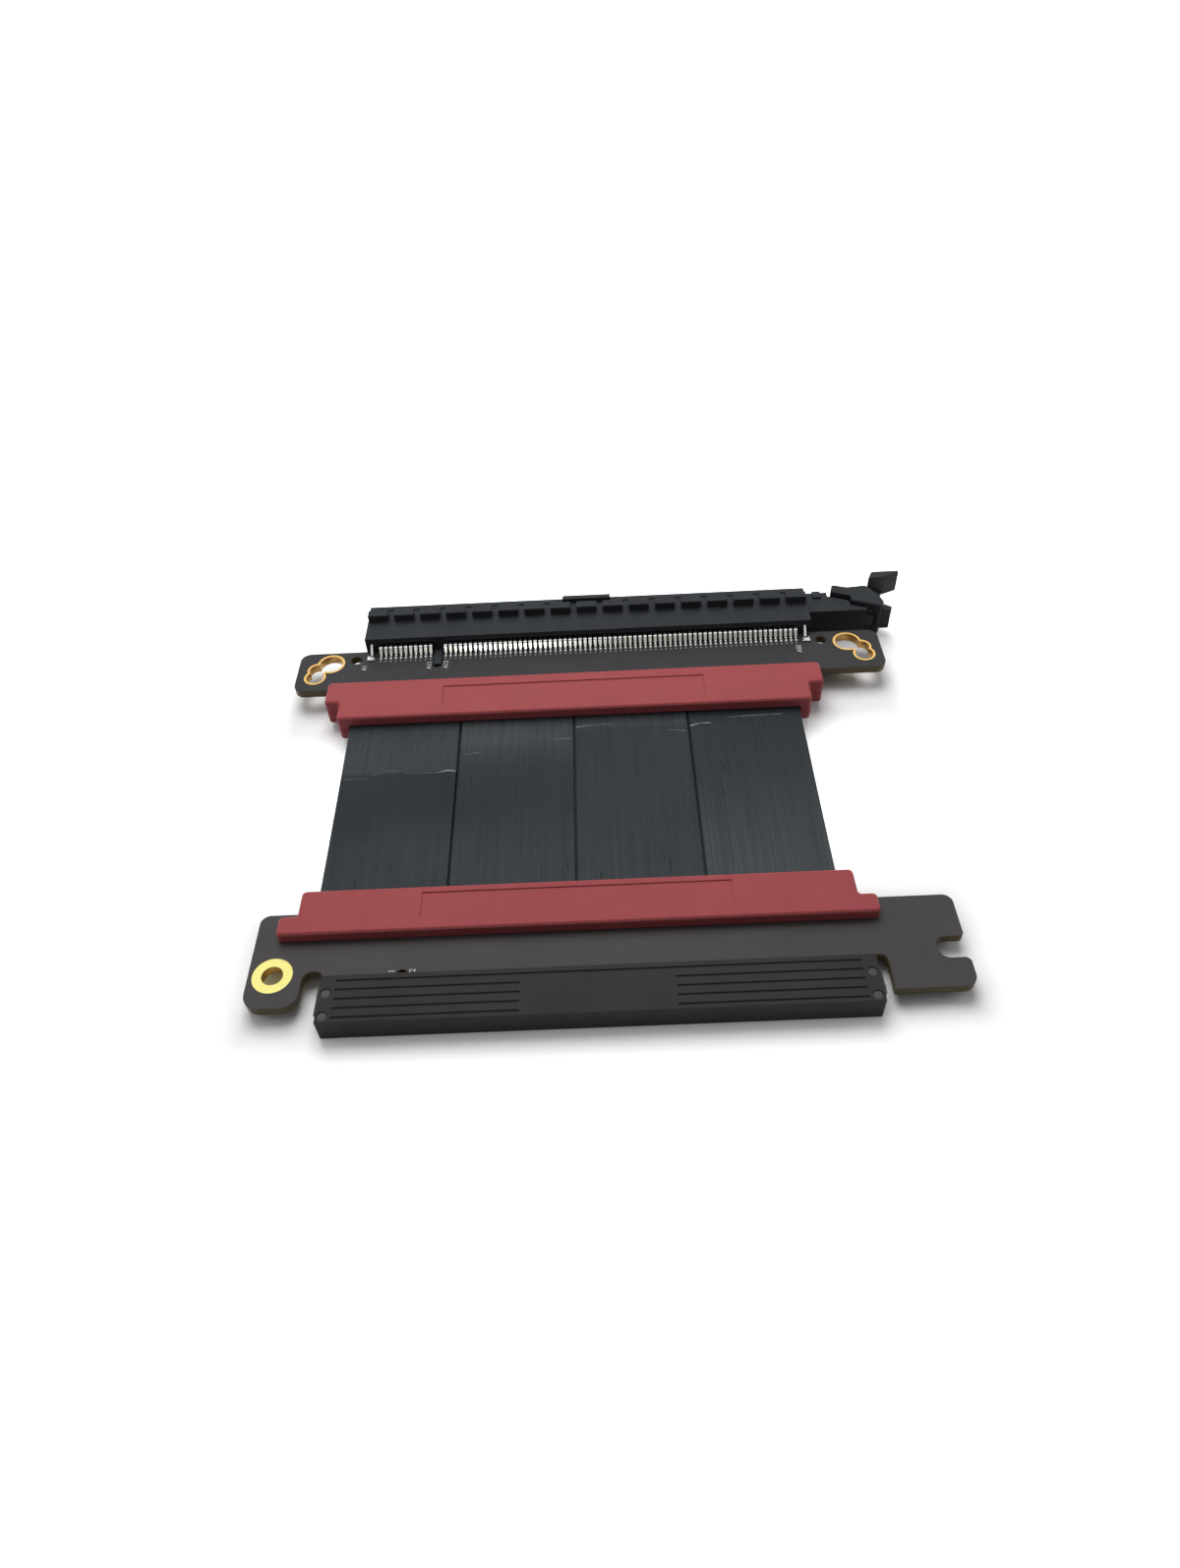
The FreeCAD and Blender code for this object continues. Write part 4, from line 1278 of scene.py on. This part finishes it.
@dataclass
class Ribbons:
    """Flat cables with a fine ridge over each conductor and rounded edges."""

    count: int = 4
    pitch: float = 21.15
    gap: float = 0.25
    shift: float = -3.0
    thick: float = 0.78
    ridges: int = 40
    ridge: float = 0.014
    edge: float = 0.3
    closed: float = 0.02
    far_middle: float = 3.8
    near_middle: float = 2.3
    corner: tuple[float, ...] = (0.0, 0.04, 0.15, 0.32, 0.55, 0.8)
    wave: tuple[float, ...] = (0.0, 0.72, 1.0, 0.72)
    ridge_range: Span = (0.4, 1.0)
    bend_row: float = 0.45
    first_row: float = 4.5
    row_step: float = 1.95
    row_count: int = 20
    crisp_edge: float = 50
    route: tuple[Span, ...] = (
        (48.7, 0.8), (46.1, 0.8), (44.3, 0.02), (3.5, 0.02), (1.7, 0.8), (-0.9, 0.8))
    # painted sheen along each ribbon: places along the cable, each with how far the sheath is lightened
    # towards the sheen's pale tint
    painted_sheen_stops: tuple[tuple[Span, ...], ...] = (
        ((2, 0.35), (14, 0.28), (23, 0.03), (30.5, 0.02), (31.6, 0.42), (37, 0.5), (46, 0.3)),
        ((2, 0.45), (13, 0.32), (22, 0.12), (31, 0.15), (35.5, 0.4), (38, 0.68), (46, 0.5)),
        ((2, 0.6), (9, 0.36), (18, 0.26), (30, 0.24), (39.5, 0.25), (41, 0.5), (46, 0.4)),
        ((2, 0.95), (11, 0.75), (20, 0.45), (28, 0.22), (38, 0.15), (46, 0.2)),
    )
    creases: tuple[Crease, ...] = (
        Crease(1, 0.05, ((-44.6, 30.1, 0.0), (-44.2, 30.1, 0.2), (-40.2, 30.0, 0.12), (-39.7, 30.5, 0.0),
                         (-39.1, 31.1, 0.25), (-38.5, 31.3, 0.08), (-37.0, 31.7, 0.13), (-34.6, 31.5, 0.1),
                         (-32.2, 30.9, 0.12), (-27.8, 30.8, 0.12), (-27.1, 31.0, 0.7), (-25.9, 31.3, 1.0),
                         (-24.7, 31.1, 0.8), (-24.4, 31.0, 0.0))),
        Crease(2, 0.02, ((-23.4, 35.0, 0.0), (-22.5, 35.1, 0.16), (-20.5, 35.4, 0.2), (-19.6, 35.5, 0.0))),
        Crease(2, 0.02, ((-7.6, 38.1, 0.0), (-6.5, 38.0, 0.12), (-3.7, 37.9, 0.2), (-3.3, 37.8, 0.0))),
        Crease(3, 0.03, ((-2.8, 40.8, 0.0), (-2.4, 40.8, 0.5), (0.0, 41.1, 0.3), (0.6, 41.1, 0.05),
                         (3.3, 41.2, 0.18), (4.2, 41.2, 0.0))),
        Crease(3, 0.02, ((13.5, 39.1, 0.0), (15.1, 39.0, 0.18), (17.6, 38.6, 0.28), (18.0, 38.6, 0.0))),
        Crease(4, 0.05, ((18.3, 39.9, 0.0), (18.6, 39.9, 1.0), (20.3, 40.4, 0.4), (21.8, 40.4, 0.7),
                         (22.6, 40.4, 0.0))),
        Crease(4, 0.03, ((24.5, 41.4, 0.0), (26.3, 41.7, 0.2), (29.4, 41.8, 0.4), (35.0, 41.9, 0.3),
                         (36.4, 42.0, 0.0))),
    )

    def dress(self) -> None:
        """Build the upper and lower layers."""
        for side in Side:
            for order in range(1, self.count + 1):
                self.build(side, order)

    def line(self, y: float) -> Span:
        """Middle between the layers and the inner face's distance from it at a place along the cable.

        Args:
            y: place along the cable.

        Returns:
            Height of the middle, and the distance of the inner face from it.
        """
        middles = [self.far_middle] * 3 + [self.near_middle] * 3
        for (a, low), (b, high), m, n in zip(self.route, self.route[1:], middles, middles[1:]):
            if b <= y <= a:
                part = (a - y) / (a - b)
                return m + (n - m) * part, low + (high - low) * part
        raise ValueError(f"{y} is off the cable")

    def across(self, order: int, side: Side) -> list[Span]:
        """Places across a ribbon with the depth of the outer face under its highest level.

        The lower ribbons nearly meet, so that no light shows through between them.

        Args:
            order: number of the ribbon from the left.
            side: layer of the ribbon.

        Returns:
            Place along X and depth of each column of points.
        """
        chance = random.Random(order * 7 + side.value)
        middle = self.shift + self.pitch * (order - (self.count + 1) / 2)
        half = (self.pitch - self.gap) / 2
        grow = (self.gap - self.closed) / 2 if side is Side.LOWER else 0.0
        left = middle - half - (grow if order > 1 else 0)
        right = middle + half + (grow if order < self.count else 0)
        columns = []
        for share in self.corner:
            depth = self.edge * (1 - math.sqrt(1 - (1 - share) ** 2))
            columns.append((self.edge * share, depth + self.ridge))
        inner = right - left - 2 * self.edge
        tall = [chance.uniform(*self.ridge_range) for _ in range(self.ridges)]
        parts = len(self.wave)
        rise = [(i / (parts * self.ridges), self.wave[i % parts] * tall[min(i // parts, self.ridges - 1)])
                for i in range(parts * self.ridges + 1)]
        body = [(left + self.edge + inner * share, self.ridge * (1 - up)) for share, up in rise]
        begin = [(left + off, depth) for off, depth in columns]
        finish = [(right - off, depth) for off, depth in reversed(columns)]
        return begin + body + finish

    def stops(self, order: int, side: Side) -> list[float]:
        """Places along a ribbon where its mesh has a row of points.

        Args:
            order: number of the ribbon from the left.
            side: layer of the ribbon.

        Returns:
            Places from the slot's end to the plug's end.
        """
        places = {y for y, _ in self.route}
        places |= {self.route[2][0] - self.bend_row, self.route[3][0] + self.bend_row}
        places |= {self.first_row + self.row_step * i for i in range(self.row_count)}
        if side is Side.UPPER:
            for crease in self.creases:
                if crease.ribbon == order:
                    places |= crease.rows()
        return sorted(places, reverse=True)

    def build(self, side: Side, order: int) -> None:
        """One ribbon with ridges on its outer face.

        Args:
            side: layer of the ribbon.
            order: number of the ribbon from the left.
        """
        folds = [crease for crease in self.creases if crease.ribbon == order and side is Side.UPPER]
        columns = self.across(order, side)
        maker = MeshMaker()
        scuffs: list[float] = []
        sheen_shares: list[float] = []
        rings = []
        for y in self.stops(order, side):
            middle, off = self.line(y)
            ring = []
            for x, depth in columns:
                marks = [fold.at(x, y) for fold in folds]
                rise = sum(mark[0] for mark in marks)
                ring.append((x, y, middle + side.value * (off + self.thick - depth + rise)))
                scuffs.append(max((mark[1] for mark in marks), default=0.0))
            for x, _ in (columns[-1], columns[0]):
                ring.append((x, y, middle + side.value * off))
                scuffs.append(0.0)
            rings.append(ring)
            # share of painted sheen at this row
            sheen_shares += [ramp(self.painted_sheen_stops[order - 1], y)] * len(ring)
        maker.loft(rings)
        mesh = maker.mesh(f"ribbon_{side.word}_{order}_form")
        for kind, values in (("scuff", scuffs), ("painted_sheen", sheen_shares)):
            mesh.attributes.new(kind, "FLOAT", "POINT").data.foreach_set("value", values)
        node = f"ribbon_{side.word}_{order}"
        piece = add_piece(node + "_cable", mesh, "cable", SHEATH, (node,))
        crisp(piece, self.crisp_edge)


@dataclass(frozen=True)
class Lamp:
    """Square soft lamp: place and side in metres, power in watts, and whether it shows only as a glint."""

    name: str
    place: Point
    side: float
    power: float
    glint: bool = False


@dataclass
class Studio:
    """Pale floor, soft lamps, white surround and the camera."""

    camera_place: Point = (2.4861, -102.0068, 138.9777)
    right: Point = (0.99896009, -0.02050917, -0.04071994)
    down: Point = (-0.04292683, -0.72402771, -0.68843385)
    forward: Point = (-0.01536315, 0.68946592, -0.72415518)
    focal: float = 1074.6317
    image_height: float = 1595.0
    film: float = 36.0
    nearest: float = 0.005
    white: Colour = (1.0, 1.0, 1.0)
    floor_reach: float = 3.0
    floor_tone: Colour = (0.44, 0.44, 0.44)
    floor_white: Colour = (0.98, 0.98, 0.98)
    floor_grain: float = 0.4
    floor_speck: float = 0.985
    floor_rough: float = 0.9
    # distance from the boards over which the floor's white glow rises; within it the floor carries painted
    # shade besides the real shadow
    board_shade_reach: float = 0.018
    sky: float = 0.16
    aim: Point = (0.004, 0.031, 0.0)
    lamps: tuple[Lamp, ...] = (
        Lamp("top_softbox", (-0.05, 0.27, 0.40), 0.36, 1.9),
        Lamp("left_softbox", (-0.42, 0.05, 0.30), 0.30, 0.45),
        Lamp("right_softbox", (0.44, 0.10, 0.26), 0.26, 0.35),
        Lamp("low_strip", (-0.046, -0.236, 0.192), 0.036, 0.1, glint=True),
    )

    def set_up(self) -> None:
        """Build the whole studio."""
        self.add_camera()
        self.add_floor()
        self.add_world()
        for lamp in self.lamps:
            self.add_lamp(lamp)
        bpy.context.scene.view_settings.view_transform = "Standard"

    def add_camera(self) -> None:
        """Camera at the photograph's place and angle."""
        lens = bpy.data.cameras.new("photo_camera")
        lens.sensor_fit = "VERTICAL"
        lens.sensor_height = self.film
        lens.lens = self.focal / self.image_height * self.film
        lens.clip_start = self.nearest
        camera = bpy.data.objects.new("photo_camera", lens)
        axes = (Vector(self.right), -Vector(self.down), -Vector(self.forward))
        turn = Matrix(axes).transposed().to_4x4()
        camera.matrix_world = Matrix.Translation(Vector(self.camera_place) * MM) @ turn
        bpy.context.scene.collection.objects.link(camera)
        bpy.context.scene.camera = camera

    def add_floor(self) -> None:
        """Pale floor that keeps the object's shadow and goes over to plain white away from it; its white glow
        is held back under and near the boards, which adds painted shade there.
        """
        reach = self.floor_reach
        corners = [(-reach, -reach, 0), (reach, -reach, 0), (reach, reach, 0), (-reach, reach, 0)]
        mesh = bpy.data.meshes.new("floor")
        mesh.from_pydata(corners, [], [(0, 1, 2, 3)])
        floor = bpy.data.objects.new("floor", mesh)
        bpy.context.scene.collection.objects.link(floor)
        shader = Shader("floor_paper")
        seen = shader.seen_by(*Ray)
        grain = shader.span(shader.noise(self.floor_grain, detail=2), self.floor_speck, 1.0)
        paper = shader.mix(grain, (0, 0, 0), shader.mix(seen, self.floor_tone, self.floor_white))
        # painted shade: the white glow rises from nothing under the boards to full strength away from them,
        # so the floor is darker under and near them
        ways = [self.way_off(shader, node) for node in ("socket_board", "plug_board")]
        away = shader.math("MINIMUM", *ways)
        glow = shader.math("MULTIPLY", seen, shader.span(away, 0.0, 1.0, 0.0, self.board_shade_reach))
        shader.finish(Base_Color=paper, Roughness=self.floor_rough, Specular_IOR_Level=0.0,
                      Emission_Color=opaque(self.white), Emission_Strength=glow)
        mesh.materials.append(shader.material)

    def way_off(self, shader: Shader, node: str) -> bpy.types.NodeSocket:
        """Distance along the floor from the ground that a node covers.

        Args:
            shader: the floor's shader.
            node: name of the solid's node.

        Returns:
            The distance in metres, which is 0 under the node.
        """
        box = Box.of(node)
        half = (box.high - box.low) / 2 * MM
        middle = box.middle * MM
        place = shader.node("TexCoord").outputs["Object"]
        off = shader.vector("ABSOLUTE", shader.vector("SUBTRACT", place, (middle.x, middle.y, 0)))
        beyond = shader.vector("MAXIMUM", shader.vector("SUBTRACT", off, (half.x, half.y, 0)), (0, 0, 0))
        return shader.vector("LENGTH", beyond)

    def add_world(self) -> None:
        """White surround for the camera and for reflections, softer as light on the object."""
        world = bpy.data.worlds.new("surround")
        bpy.context.scene.world = world
        world.use_nodes = True
        nodes = Nodes(world.node_tree)
        background = nodes.tree.nodes["Background"]
        nodes.put(background.inputs["Color"], opaque(self.white))
        level = nodes.span(nodes.seen_by(*Ray), self.sky, 1.0, 0.0, 1.0)
        nodes.put(background.inputs["Strength"], level)

    def add_lamp(self, lamp: Lamp) -> None:
        """Soft lamp aimed at the object, kept out of reflections unless it is there for its glint alone.

        Args:
            lamp: the lamp's place, size and power.
        """
        light = bpy.data.lights.new(lamp.name, "AREA")
        light.size = lamp.side
        light.energy = lamp.power
        stand = bpy.data.objects.new(lamp.name, light)
        stand.location = lamp.place
        stand.rotation_euler = (Vector(self.aim) - Vector(lamp.place)).to_track_quat("-Z", "Y").to_euler()
        stand.visible_glossy = lamp.glint
        stand.visible_diffuse = not lamp.glint
        bpy.context.scene.collection.objects.link(stand)


def main() -> None:
    """Dress every sub-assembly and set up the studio."""
    logging.basicConfig(level=logging.INFO, format="%(message)s")
    for assembly in (Slot(), FarBoard(), NearBoard(), EdgeCap(), Covers(), Ribbons()):
        LOG.info("dressing %s", type(assembly).__name__)
        assembly.dress()
    Studio().set_up()


if __name__ == "__main__":
    main()
